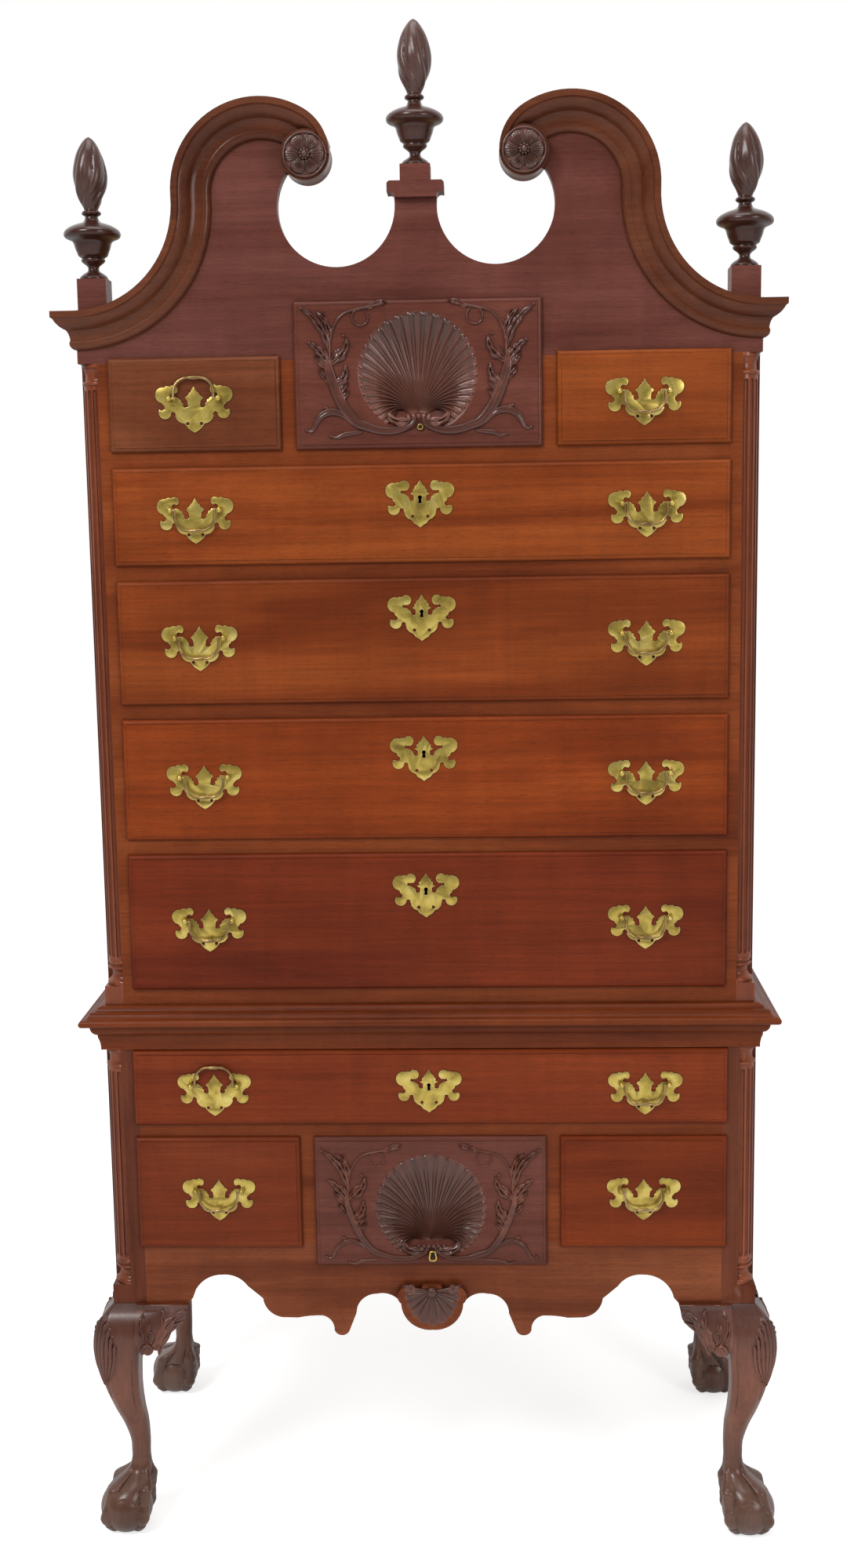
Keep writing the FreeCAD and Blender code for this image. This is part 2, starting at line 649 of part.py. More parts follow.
def legs():
    pieces = []
    for front in (True, False):
        shape = leg(front)
        block = knee_block()
        side = block.mirror(V(0, 0, 0), V(1, -1, 0))
        parts = [shape, side.cut(shape)] + ([block.cut(shape)] if front else [])
        for part in parts:
            if front:
                part = part.mirror(V(0, 0, 0), V(0, 1, 0))
            part.translate(V(stand_half, stand_front if front else case_back, 0))
            pieces += both(part)
    return pieces


# ================================================================ drawers
def drawer_front(r):
    y = r["front"]
    thick = shell_body if r["shell"] else front_body
    edge = box(r["x0"], r["x1"], r["face"] + lip_step, y - lip_gap, r["low"], r["top"])
    edge = edge.makeFillet(lip_round, [e for e in edge.Edges if e.BoundBox.YMax < r["face"] + lip_step + 0.1])
    inset = lip_round + 1.0
    field = box(r["x0"] + inset, r["x1"] - inset, r["face"], y - lip_gap, r["low"] + inset, r["top"] - inset)
    in_by = lip_over + drawer_gap
    body = box(r["x0"] + in_by, r["x1"] - in_by, y - lip_gap, y + thick, r["low"] + in_by, r["top"] - in_by)
    shape = join([edge, field, body])
    if r["shell"]:
        ball = (shell_radius ** 2 + shell_deep ** 2) / (2 * shell_deep)
        z = r["low"] + r["shell"] * (r["top"] - r["low"])
        shape = shape.cut(Part.makeSphere(ball, V(0, r["face"] + shell_deep - ball, z)))
    for x, z in post_spots(r):
        spot = V(x, r["face"], z)
        shape = shape.cut(Part.makeCylinder(shank_radius + shank_play, lip_thick + thick, spot, V(0, 1, 0)))
    if r["key"] is not None:
        shape = shape.cut(keyhole(r["mid"] + r["key"], r["face"], y + thick))
    return [shape]


def drawer_box(r):
    thick = shell_body if r["shell"] else front_body
    x0 = r["x0"] + lip_over + drawer_gap
    x1 = r["x1"] - lip_over - drawer_gap
    y0 = r["front"] + thick
    y1 = case_back - back_board - drawer_stop
    z0 = r["low"] + lip_over + runner_gap
    z1 = r["top"] - lip_over - 2 * drawer_gap
    t = drawer_board
    return [box(x0, x0 + t, y0, y1, z0, z1), box(x1 - t, x1, y0, y1, z0, z1),
            box(x0 + t, x1 - t, y1 - t, y1, z0 + floor_up + drawer_floor, z1),
            box(x0 + t, x1 - t, y0, y1, z0 + floor_up, z0 + floor_up + drawer_floor)]


# ================================================================ brass
def post_spots(r):
    """Places of the pull posts of a drawer."""
    return [(x + side * post_pitch / 2, r["mid"] + rise) for x, rise, _ in r["pulls"] for side in (-1, 1)]


def disc(x, z, radius):
    return Part.Face(Part.Wire(Part.makeCircle(radius, V(x, 0, z), V(0, 1, 0))))


def flat(points):
    return face(points, lambda x, z: V(x, 0, z))


def plate_from(solid_faces, holes, x, z, y):
    """Plate made of flat pieces and their mirror images, less the holes, in front of y."""
    out = V(0, -plate_thick, 0)
    whole = join([f.extrude(out) for f in solid_faces + [mirror_x(f) for f in solid_faces]])
    shape = whole.cut([h.extrude(out) for h in holes + [mirror_x(h) for h in holes]])
    shape.translate(V(x, y, z))
    return shape.Solids


def pull_plate(x, z, y):
    """Bat-wing back plate, placed by the middle of its two posts."""
    spire = flat([(0, 17), (4.5, 9.5), (6.2, 8.6), (8.6, 4.2), (10, 4), (12.8, 1), (9.3, -3), (8.5, -14),
                  (0, -16)])
    body = flat([(0, -10), (13, -12), (15.6, -6.5), (17.4, -5.8), (19, -1.2), (21, -0.8), (23.5, 2.2),
                 (34, 3), (47, -3), (44, -8), (43, -15), (35, -20), (29.5, -17), (27.5, -22),
                 (23, -30.5, 14.5, -34), (10.5, -39.5), (6.5, -43, 0, -47)])
    lobes = [disc(44, 5.5, 10.7), disc(28.8, 12.8, 6.0), disc(37, 11.5, 6.5), disc(41.5, -18.5, 9.0)]
    holes = [disc(29.6, 5.6, 3.3), disc(12.2, -8.6, 3.7), disc(46, -11.5, 4.2), disc(9.8, -34.5, 2.4),
             flat([(18, 4), (29.6, 3.6), (29.6, 7.6), (18, 9)]),
             flat([(46, -15.3), (46, -8), (60, -12.5), (60, -13.5)]),
             disc(30, -21.5, 3.4), disc(post_pitch / 2, 0, shank_radius + shank_play)]
    return plate_from([spire, body] + lobes, holes, x, z, y)


def key_plate(z, y):
    """Matching escutcheon, placed by its keyhole."""
    spire = flat([(0, 26), (4.5, 19), (6.5, 18), (8.5, 13.5), (10.2, 13), (12.8, 7), (8.6, 4.5), (9, -6),
                  (0, -8)])
    body = flat([(0, 0), (13.5, -3), (16, 3), (21, 7), (29, 9), (40, 3), (37, -4), (37, -10), (30, -14),
                 (27, -12.5), (23.6, -12.9), (21.5, -22.5), (17.5, -26.8), (12.3, -29.3), (9, -33.8),
                 (4.6, -36.3), (0, -39.7)])
    lobes = [disc(37.8, 12.1, 10.8), disc(22, 18.6, 7.2), disc(30.5, 17, 6.5), disc(37, -13.5, 8.4)]
    holes = [disc(21.6, 9.6, 2.6), disc(12.2, 1.2, 3.2), disc(38, -6.6, 3.4), disc(10.6, -24.2, 2.4),
             flat([(10, 8.6), (21.6, 8), (21.6, 11.4), (10, 12.5)]),
             flat([(38, -9.6), (38, -3.6), (52, -7.5), (52, -8.5)]),
             disc(0, 2.2, 3.0), flat([(-1.6, 2), (1.6, 2), (2.6, -6), (-2.6, -6)])]
    return plate_from([spire, body] + lobes, holes, 0, z, y)


def keyhole(z, y0, y1):
    shape = Part.makeCylinder(2.6, y1 - y0, V(0, y0, z + 2.2), V(0, 1, 0))
    return shape.fuse(slab([(-1.3, z + 2), (1.3, z + 2), (2.2, z - 5.6), (-2.2, z - 5.6)], y0, y1))


def post(x, z, r):
    """Post of a pull: round head with a cross hole, collar, shank through the front, and nut."""
    y = r["face"]
    thick = lip_thick + (shell_body if r["shell"] else front_body)
    out = V(0, -1, 0)
    head = Part.makeSphere(post_head, V(x, y - post_out, z))
    neck = Part.makeCone(3.6, 2.3, post_out - plate_thick, V(x, y - plate_thick, z), out)
    shank = Part.makeCylinder(shank_radius, thick + plate_thick + nut_thick + 2, V(x, y - plate_thick, z),
                              V(0, 1, 0))
    hole = Part.makeCylinder(bail_pin + pin_play, 4 * post_head, V(x - 2 * post_head, y - post_out, z),
                             V(1, 0, 0))
    body = join([head, neck, shank]).cut(hole)
    nut = box(x - nut_half, x + nut_half, y + thick, y + thick + nut_thick, z - nut_half, z + nut_half)
    nut = nut.cut(Part.makeCylinder(shank_radius + shank_play, nut_thick, V(x, y + thick, z), V(0, 1, 0)))
    return [body, nut]


def drawer_brass(r):
    pieces = []
    for x, rise, _ in r["pulls"]:
        pieces += pull_plate(x, r["mid"] + rise, r["face"])
    for x, z in post_spots(r):
        pieces += post(x, z, r)
    if r["key"] is not None:
        pieces += key_plate(r["mid"] + r["key"], r["face"])
    return pieces


def bail(x, z, y, raised):
    """Drop handle on two pins, hanging from the axis at x, z, y, or turned up."""
    half = post_pitch / 2 - post_head - bail_clear - bail_rod
    corner = bail_corner
    pieces = []
    for side in (-1, 1):
        pin = Part.makeCylinder(bail_pin, half_pin(half), V(side * half, 0, 0), V(side, 0, 0))
        knuckle = Part.makeSphere(bail_rod + 0.2, V(side * half, 0, 0))
        arm = Part.makeCylinder(bail_rod, bail_drop - corner, V(side * half, 0, corner - bail_drop))
        ring = Part.makeCircle(bail_rod, V(side * half, 0, corner - bail_drop), V(0, 0, 1))
        ring = Part.Face(Part.Wire(ring))
        bend = ring.revolve(V(side * (half - corner), 0, corner - bail_drop), V(0, side, 0), 90)
        pieces += [pin, knuckle, arm, bend]
    reach = half - corner
    swell = face([(-reach, 0), (-reach, bail_rod), (0, bail_grip, reach, bail_rod), (reach, 0)],
                 lambda u, v: V(u, 0, v - bail_drop))
    pieces.append(swell.revolve(V(0, 0, -bail_drop), V(1, 0, 0), 360))
    shape = join(pieces)
    if raised:
        shape.rotate(V(0, 0, 0), V(-1, 0, 0), 180 + bail_back)
    shape.translate(V(x, y, z))
    return shape


def half_pin(half):
    """Length of a bail's pin, from its arm into the post."""
    return post_pitch / 2 - post_head - half + pin_seat


# ================================================================ all nodes
def main():
    os.makedirs("parts", exist_ok=True)
    nodes = dict(case_sides=case_sides(), case_backs=case_backs(), upper_boards=upper_boards(),
                 upper_frame=upper_frame(), stand_frame=stand_frame(), drawer_runners=drawer_runners(),
                 quarter_columns=quarter_columns(), waist_moulding=waist_moulding(),
                 crown_moulding=crown_moulding(), scroll_board=scroll_board(), rosettes=rosettes(),
                 finial_plinths=finial_plinths(), finials=finials(), apron=apron(), legs=legs())
    for r in ROWS:
        name = r["name"]
        nodes[name + "_front"] = drawer_front(r)
        nodes[name + "_box"] = drawer_box(r)
        if r["pulls"]:
            nodes[name + "_brass"] = drawer_brass(r)
        sides = ["_left", "_right"] if len(r["pulls"]) == 2 else [""]
        for side, (x, rise, raised) in zip(sides, r["pulls"]):
            nodes[name + "_bail" + side] = [bail(x, r["mid"] + rise, r["face"] - post_out, raised)]
    for node, solids in nodes.items():
        export(node, solids)
        print(node, len(solids), [s.isValid() for s in solids].count(False))


main()
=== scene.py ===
"""Looks of the highboy: its woods, carving and brasses, and the floor, lights and camera."""
import json
import math

import bpy
import numpy as np
from mathutils import Matrix, Vector

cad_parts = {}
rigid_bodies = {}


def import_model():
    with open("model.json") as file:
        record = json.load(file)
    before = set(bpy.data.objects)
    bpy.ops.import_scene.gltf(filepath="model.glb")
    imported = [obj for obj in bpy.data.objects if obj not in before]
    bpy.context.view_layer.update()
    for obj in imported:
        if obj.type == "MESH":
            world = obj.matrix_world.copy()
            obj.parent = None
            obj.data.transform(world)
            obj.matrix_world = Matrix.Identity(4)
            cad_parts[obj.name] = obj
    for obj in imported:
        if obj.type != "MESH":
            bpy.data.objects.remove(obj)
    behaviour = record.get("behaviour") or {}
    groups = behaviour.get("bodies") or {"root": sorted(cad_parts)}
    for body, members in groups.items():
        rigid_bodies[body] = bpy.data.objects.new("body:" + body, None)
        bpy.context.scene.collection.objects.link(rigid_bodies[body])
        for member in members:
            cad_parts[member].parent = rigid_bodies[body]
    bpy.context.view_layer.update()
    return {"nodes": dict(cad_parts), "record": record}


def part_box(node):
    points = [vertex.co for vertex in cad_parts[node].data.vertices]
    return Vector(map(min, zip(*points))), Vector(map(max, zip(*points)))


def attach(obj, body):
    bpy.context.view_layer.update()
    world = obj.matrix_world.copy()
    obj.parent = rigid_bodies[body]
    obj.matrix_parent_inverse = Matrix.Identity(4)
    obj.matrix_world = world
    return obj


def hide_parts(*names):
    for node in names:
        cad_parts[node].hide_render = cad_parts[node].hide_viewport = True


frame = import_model()
nodes = frame["nodes"]
MM = 0.001      # carvings and turnings are drawn in millimetres

# -------------------- places taken from the frame
shell_low, shell_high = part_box("upper_shell_front")
stand_shell_low, stand_shell_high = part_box("lower_shell_front")
rosette_low, rosette_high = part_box("rosettes")
finial_low, finial_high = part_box("finials")
finial_middle_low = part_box("finial_plinths")[1].z
apron_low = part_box("apron")[0]
sides_low, sides_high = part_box("case_sides")
STAND_HALF = sides_high.x
CASE_BACK = sides_high.y
STAND_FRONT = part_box("stand_frame")[0].y
KNEE_TOP = sides_low.z
UPPER_SHELL_SHARE = 0.51      # shell centre as a share of the drawer's height
LOWER_SHELL_SHARE = 0.455
UPPER_SHELL_Z = shell_low.z + UPPER_SHELL_SHARE * (shell_high.z - shell_low.z)
LOWER_SHELL_Z = stand_shell_low.z + LOWER_SHELL_SHARE * (stand_shell_high.z - stand_shell_low.z)
DISH_RADIUS = 85.0            # hollow turned into each shell drawer
DISH_DEEP = 15.0


# -------------------- making and finishing pieces
def link(made):
    bpy.context.scene.collection.objects.link(made)


def clear_selection():
    if bpy.context.object and bpy.context.object.mode != "OBJECT":
        bpy.ops.object.mode_set(mode="OBJECT")
    bpy.ops.object.select_all(action="DESELECT")


def pick(objects):
    clear_selection()
    for each in objects:
        each.select_set(True)
    bpy.context.view_layer.objects.active = objects[0]


def settled():
    """The active piece, with its place applied to its mesh."""
    bpy.ops.object.transform_apply(location=True, rotation=True, scale=True)
    return bpy.context.object


def open_whole(piece):
    """Opens a piece for editing, with all of it selected."""
    pick([piece])
    bpy.ops.object.mode_set(mode="EDIT")
    bpy.ops.mesh.select_all(action="SELECT")


def weld(piece, gap=0.01, outward=True):
    """Closes the seams of a piece and turns its faces outwards."""
    open_whole(piece)
    bpy.ops.mesh.remove_doubles(threshold=gap)
    bpy.ops.mesh.dissolve_degenerate(threshold=gap / 10)
    bpy.ops.mesh.select_all(action="SELECT")
    if outward:
        bpy.ops.mesh.normals_make_consistent(inside=False)
    bpy.ops.object.mode_set(mode="OBJECT")


def welded_copy(node, name, gap):
    """Copy of a node, whose loose triangles are joined and already face outwards."""
    piece = bpy.data.objects.new(name, nodes[node].data.copy())
    link(piece)
    weld(piece, gap, outward=False)
    return piece


def sheet(across, along, place):
    """A grid whose points are placed by place(u, v), with u and v from 0 to 1."""
    clear_selection()
    bpy.ops.mesh.primitive_grid_add(x_subdivisions=across, y_subdivisions=along, size=2)
    piece = bpy.context.object
    mesh = piece.data
    flat = np.zeros(len(mesh.vertices) * 3)
    mesh.vertices.foreach_get("co", flat)
    flat = flat.reshape(-1, 3)
    u = (flat[:, 0] + 1) / 2
    v = (flat[:, 1] + 1) / 2
    placed = np.stack(np.broadcast_arrays(*place(u, v)), axis=1)
    mesh.vertices.foreach_set("co", placed.ravel())
    mesh.update()
    return piece


def relief(across, along, place):
    """A sheet drawn over a board: across, out of the board and up. Its faces look out."""
    piece = sheet(across, along, place)
    normals = np.zeros(len(piece.data.polygons) * 3)
    piece.data.polygons.foreach_get("normal", normals)
    if normals.reshape(-1, 3)[:, 1].mean() < 0:
        piece.data.flip_normals()
    return piece


def set_out(parts, places):
    """Copies of drawn parts at each place, which is an origin, the way across and the way out."""
    made = []
    for origin, across, outward in places:
        axes = Matrix((across, outward, (0, 0, 1))).transposed() * MM
        for part in parts:
            copy = bpy.data.objects.new(part.name, part.data.copy())
            link(copy)
            copy.data.transform(Matrix.Translation(origin) @ axes.to_4x4())
            if axes.determinant() < 0:
                copy.data.flip_normals()
            made.append(copy)
    for part in parts:
        bpy.data.objects.remove(part)
    return made


def one_piece(parts):
    pick(parts)
    if len(parts) > 1:
        bpy.ops.object.join()
    return bpy.context.object


def finish(piece, name, stuff, body, replaces=(), angle=40):
    piece.name = name
    piece.data.name = name
    piece.data.materials.clear()
    piece.data.materials.append(stuff)
    pick([piece])
    settled()
    bpy.ops.object.shade_smooth_by_angle(angle=math.radians(angle))
    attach(piece, body)
    if replaces:
        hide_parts(*replaces)
    return piece


def carve(parts, places, name, stuff, body="case", replaces=(), angle=50):
    """One finished piece of the copies of drawn parts at each place."""
    return finish(one_piece(set_out(parts, places)), name, stuff, body, replaces, angle)


def smooth_run(points, count):
    """Points of a smooth line through the given ones, evenly spread over their steps."""
    points = np.array(points, float)
    last = len(points) - 1
    steps = np.linspace(0, last, count)
    low = np.clip(steps.astype(int), 0, last - 1)
    t = (steps - low)[:, None]
    before = points[np.clip(low - 1, 0, last)]
    here = points[low]
    there = points[low + 1]
    after = points[np.clip(low + 2, 0, last)]
    return 0.5 * (2 * here + (there - before) * t + (2 * before - 5 * here + 4 * there - after) * t ** 2
                  + (3 * here - before - 3 * there + after) * t ** 3)


def at_height(table, z):
    """The columns of a table, which runs from high to low, read smoothly at the heights z."""
    fine = smooth_run(table, 12 * (len(table) - 1) + 1)[::-1]
    return [np.interp(z, fine[:, 0], fine[:, column]) for column in range(1, fine.shape[1])]


def ease(share):
    """0 below 0, 1 above 1, smooth between."""
    share = np.clip(share, 0, 1)
    return share * share * (3 - 2 * share)


def wave(turns):
    """Row of half circles: 0 at whole numbers, 1 half way between them."""
    return np.abs(np.sin(math.pi * turns))


def hump(x, middle, width):
    """1 at the middle, falling softly to 0 on both sides."""
    return np.exp(-((x - middle) / width) ** 2)


def arch(x):
    """Half circle over -1 to 1."""
    return np.sqrt(np.clip(1 - x ** 2, 0, 1))


def facing(origin):
    """Place for a part that is drawn on a front: its origin, the way across and the way out."""
    return origin, (1, 0, 0), (0, -1, 0)


# -------------------- carving
SINK = 0.4      # how far the edge of a relief lies in its ground


def level(x, z):
    """Flat ground, for carving that isn't on a swelling."""
    return 0 * x


def carved_stem(points, widths, rise, ground=level, strands=1):
    """A carved stroke along points (across and up), with its half widths and its height."""
    count = 10 * (len(points) - 1) + 1
    line = smooth_run(points, count)
    half = np.maximum(smooth_run([[w] for w in widths], count)[:, 0], 0.15)
    way = np.gradient(line, axis=0)
    way /= np.linalg.norm(way, axis=1)[:, None] + 1e-9
    side = np.stack([-way[:, 1], way[:, 0]], axis=1)

    def place(u, v):
        row = np.clip(np.rint(v * (count - 1)).astype(int), 0, count - 1)
        across = np.cos(math.pi * u)
        x = line[row, 0] + side[row, 0] * half[row] * across
        z = line[row, 1] + side[row, 1] * half[row] * across
        dome = wave(u) ** 0.7
        if strands > 1:
            dome = 0.7 * dome + 0.3 * wave(strands * u ** 1.25) ** 0.7
        high = rise * (half[row] / max(widths)) ** 0.5 * dome
        return x, ground(x, z) + high - SINK, z
    return relief(12, count - 1, place)


def carved_leaf(base, tip, width, rise, bend=0.0, lobes=3, ground=level):
    """A leaf from base to tip (across and up) with a sunk middle vein and a lobed edge."""
    base = np.array(base, float)
    run = np.array(tip, float) - base
    length = np.linalg.norm(run)
    way = run / length
    side = np.array([-way[1], way[0]])

    def place(u, v):
        across = 2 * u - 1
        half = width * np.sin(math.pi * np.clip(v, 0.01, 0.985) ** 0.9) ** 0.5 * (1.12 - 0.3 * v)
        half = half * (1 - 0.34 * wave((lobes + 0.5) * v) ** 3) + 0.2
        sway = bend * length * 4 * v * (1 - v) + half * across
        x = base[0] + way[0] * length * v + side[0] * sway
        z = base[1] + way[1] * length * v + side[1] * sway
        dome = arch(across)
        groove = 0.5 * hump(across, 0, 0.15) * np.sin(math.pi * v) ** 0.5
        ribs = 1 + 0.13 * np.cos(2 * math.pi * (1.6 * lobes * v - 1.3 * np.abs(across)))
        high = rise * np.sin(math.pi * np.clip(v, 0.04, 0.96)) ** 0.35 * (dome * ribs - groove)
        high = high + 0.4 * rise * dome * hump(v, 0.88, 0.07)
        return x, ground(x, z) + high - SINK, z
    return relief(14, 26, place)


def curl(x, z, radius, start, turns):
    """Points of a spiral that winds inwards from the angle start, in turns."""
    steps = int(abs(turns) * 8) + 1
    share = np.linspace(0, 1, steps)
    angle = start + 2 * math.pi * turns * share
    reach = radius * (1 - 0.55 * share)
    return [(x + r * math.cos(a), z + r * math.sin(a)) for r, a in zip(reach, angle)]


def bead(x, out, z, radius, flat=1.0, rings=8):
    """A bead on a board, flattened towards it."""
    clear_selection()
    bpy.ops.mesh.primitive_uv_sphere_add(segments=2 * rings, ring_count=rings, radius=radius,
                                         location=(x, out, z), scale=(1, flat, 1))
    return settled()


def ring(x, out, z, radius, thick):
    clear_selection()
    bpy.ops.mesh.primitive_torus_add(major_segments=64, minor_segments=10, major_radius=radius,
                                     minor_radius=thick, location=(x, out, z), rotation=(math.pi / 2, 0, 0))
    return settled()


# -------------------- materials
def new_material(name):
    material = bpy.data.materials.new(name)
    material.use_nodes = True
    return material, material.node_tree, material.node_tree.nodes["Principled BSDF"]


def add(tree, kind, values=None, **settings):
    made = tree.nodes.new(kind)
    for key, value in settings.items():
        setattr(made, key, value)
    for key, value in (values or {}).items():
        if isinstance(value, bpy.types.NodeSocket):
            tree.links.new(value, made.inputs[key])
        else:
            made.inputs[key].default_value = value
    return made


def noise(tree, scale, shift, detail, rough, distort=0.0):
    """Noise that is fixed to the object, so many to the metre along each axis."""
    coords = add(tree, "ShaderNodeTexCoord")
    place = add(tree, "ShaderNodeMapping", {"Vector": coords.outputs["Object"], "Scale": scale,
                                            "Location": shift})
    return add(tree, "ShaderNodeTexNoise", {"Vector": place.outputs["Vector"], "Scale": 1.0, "Detail": detail,
                                            "Roughness": rough, "Distortion": distort}).outputs["Fac"]


def ramp(tree, value, stops):
    made = add(tree, "ShaderNodeValToRGB", {"Fac": value})
    elements = made.color_ramp.elements
    while len(elements) < len(stops):
        elements.new(0.5)
    for element, (spot, colour) in zip(elements, stops):
        element.position = spot
        element.color = colour if len(colour) == 4 else (*colour, 1)
    return made.outputs["Color"]


def grey(level):
    return (level, level, level, 1)


def grey_ramp(tree, value, low, low_grey, high, high_grey):
    return ramp(tree, value, [(low, grey(low_grey)), (high, grey(high_grey))])


def blend_colours(tree, share, a, b, kind="MIX"):
    made = add(tree, "ShaderNodeMix", data_type="RGBA", blend_type=kind, clamp_factor=True)
    for socket, value in (("Factor", share), ("A", a), ("B", b)):
        target = [s for s in made.inputs if s.name == socket and s.enabled][0]
        if isinstance(value, bpy.types.NodeSocket):
            tree.links.new(value, target)
        else:
            target.default_value = value if socket == "Factor" or len(value) == 4 else (*value, 1)
    return [s for s in made.outputs if s.enabled][0]


def multiply(tree, colour, factor, share=1.0):
    return blend_colours(tree, share, colour, factor, "MULTIPLY")


def hollow_share(tree, reach):
    """1 in the open, lower in grooves and inner corners."""
    return add(tree, "ShaderNodeAmbientOcclusion", {"Distance": reach}, samples=4).outputs["AO"]


def corner_share(tree, reach):
    """1 on flat wood, lower along outer edges."""
    return add(tree, "ShaderNodeAmbientOcclusion", {"Distance": reach}, samples=4, inside=True).outputs["AO"]


def stretched(grain, along, across):
    return {"x": (along, across, across), "y": (across, along, across), "z": (across, across, along)}[grain]


def shades(tone):
    """Dark and light of a wood around its middle tone: the dark is redder, the light yellower."""
    red, green, blue = tone
    return (0.64 * red, 0.54 * green, 0.46 * blue), (1.26 * red, 1.42 * green, 1.55 * blue)


def by_height(tree, stops):
    """Colour factor that changes up the object, for tone and for painted shade and sheen: heights in metres
    and colour factors.
    """
    low, high = stops[0][0], stops[-1][0]
    coords = add(tree, "ShaderNodeTexCoord")
    height = add(tree, "ShaderNodeSeparateXYZ", {0: coords.outputs["Object"]}).outputs["Z"]
    share = add(tree, "ShaderNodeMapRange", {"Value": height, "From Min": low, "From Max": high}).outputs[0]
    return ramp(tree, share, [((z - low) / (high - low), factor) for z, factor in stops])


def wood(name, tone, grain="x", shift=(0, 0, 0), rough=0.42, grime_and_shade=0.35, reach=0.012, coat=0.10,
         coat_rough=0.14, specular=0.12, grime_and_shade_tone=(1.0, 0.8, 0.7), wear_and_highlight=1.25, tone_shade_and_sheen_by_height=()):
    """Old polished wood: broad figure, fine streaks, pores and cloudy age, with edges lightened by wear and a
    painted highlight, and hollows darkened by dirt and painted shade.
    """
    material, tree, shader = new_material(name)
    dark, light = shades(tone)
    figure = noise(tree, stretched(grain, 1.3, 11), shift, 4, 0.55, 0.9)
    streak = noise(tree, stretched(grain, 5, 210), shift, 3, 0.6, 0.2)
    pores = noise(tree, stretched(grain, 90, 1500), shift, 2, 0.5)
    cloud = noise(tree, (3.1, 3.1, 3.1), shift, 3, 0.6)
    cross = noise(tree, stretched(grain, 26, 5), shift, 2, 0.5, 0.6)
    colour = ramp(tree, figure, [(0.30, dark), (0.5, tone), (0.70, light)])
    for value, low, high in ((streak, 0.84, 1.10), (cross, 0.93, 1.05), (cloud, 0.90, 1.06)):
        colour = multiply(tree, colour, grey_ramp(tree, value, 0.32, low, 0.68, high))
    pore_tone = grey_ramp(tree, pores, 0.36, 0.45, 0.44, 1)
    colour = multiply(tree, colour, pore_tone, 0.45)
    # Painted shade with some real dirt: hollows and creases found by ambient occlusion are darkened towards
    # the dirt-and-shade colour.
    edge = grey_ramp(tree, hollow_share(tree, reach), 0.25, 1, 0.85, 0)
    dirt_and_shade = [grime_and_shade * share for share in grime_and_shade_tone]
    colour = multiply(tree, colour, blend_colours(tree, edge, grey(1), dirt_and_shade))
    # Outer edges are lightened: partly rubbed wear, partly a painted highlight.
    colour = multiply(tree, colour, grey_ramp(tree, corner_share(tree, 0.0025), 0.35, wear_and_highlight, 0.75, 1))
    if tone_shade_and_sheen_by_height:
        colour = multiply(tree, colour, by_height(tree, tone_shade_and_sheen_by_height))
    tree.links.new(colour, shader.inputs["Base Color"])
    shine = blend_colours(tree, 0.5, grey_ramp(tree, cloud, 0.25, rough - 0.06, 0.75, rough + 0.10),
                          grey_ramp(tree, streak, 0.3, rough + 0.08, 0.7, rough))
    tree.links.new(shine, shader.inputs["Roughness"])
    worn = blend_colours(tree, 0.5, pore_tone, grey_ramp(tree, streak, 0.2, 0, 0.8, 1))
    bump = add(tree, "ShaderNodeBump", {"Height": worn, "Strength": 0.25, "Distance": 0.0003})
    tree.links.new(bump.outputs["Normal"], shader.inputs["Normal"])
    shader.inputs["Specular IOR Level"].default_value = specular
    shader.inputs["Coat Weight"].default_value = coat
    shader.inputs["Coat Roughness"].default_value = coat_rough
    return material


def carved_wood(name, tone, grain, shift, grime_and_shade=0.12, reach=0.006, coat=0.7, coat_rough=0.1, tone_shade_and_sheen_by_height=()):
    """Carved wood under many coats of polish: darker and glossier than the boards."""
    return wood(name, tone, grain, shift, rough=0.3, grime_and_shade=grime_and_shade, reach=reach, coat=coat,
                coat_rough=coat_rough, specular=0.25, grime_and_shade_tone=(1.0, 0.85, 0.8), wear_and_highlight=1.5, tone_shade_and_sheen_by_height=tone_shade_and_sheen_by_height)


def old_brass(name, dark=(0.32, 0.215, 0.045), tone=(0.62, 0.46, 0.100), light=(0.80, 0.64, 0.20),
              worn_and_highlight_tone=(0.90, 0.78, 0.42)):
    """Brass with patches of age, hollows darkened by tarnish and painted shade, and edges lightened by
    rubbing and a painted highlight.
    """
    material, tree, shader = new_material(name)
    patch = noise(tree, (45, 45, 45), (0, 0, 0), 3, 0.5, 0.3)
    fine = noise(tree, (500, 500, 500), (0, 0, 0), 2, 0.5)
    colour = ramp(tree, patch, [(0.28, dark), (0.5, tone), (0.74, light)])
    # Hollows darkened to near black: tarnish with painted shade.
    edge = grey_ramp(tree, hollow_share(tree, 0.003), 0.3, 1, 0.9, 0)
    colour = blend_colours(tree, edge, colour, (0.07, 0.045, 0.014))
    # Outer edges lightened: rubbed wear with a painted highlight.
    rubbed_and_highlight = grey_ramp(tree, corner_share(tree, 0.0012), 0.35, 1, 0.8, 0)
    colour = blend_colours(tree, rubbed_and_highlight, colour, worn_and_highlight_tone)
    tree.links.new(colour, shader.inputs["Base Color"])
    shader.inputs["Metallic"].default_value = 0.8
    shine = blend_colours(tree, 0.5, grey_ramp(tree, patch, 0.3, 0.38, 0.7, 0.22),
                          grey_ramp(tree, fine, 0.3, 0.26, 0.7, 0.36))
    tree.links.new(shine, shader.inputs["Roughness"])
    bump = add(tree, "ShaderNodeBump", {"Height": fine, "Strength": 0.2, "Distance": 0.0002})
    tree.links.new(bump.outputs["Normal"], shader.inputs["Normal"])
    return material


def dress(name, material):
    for slot in nodes[name].material_slots:
        slot.material = material


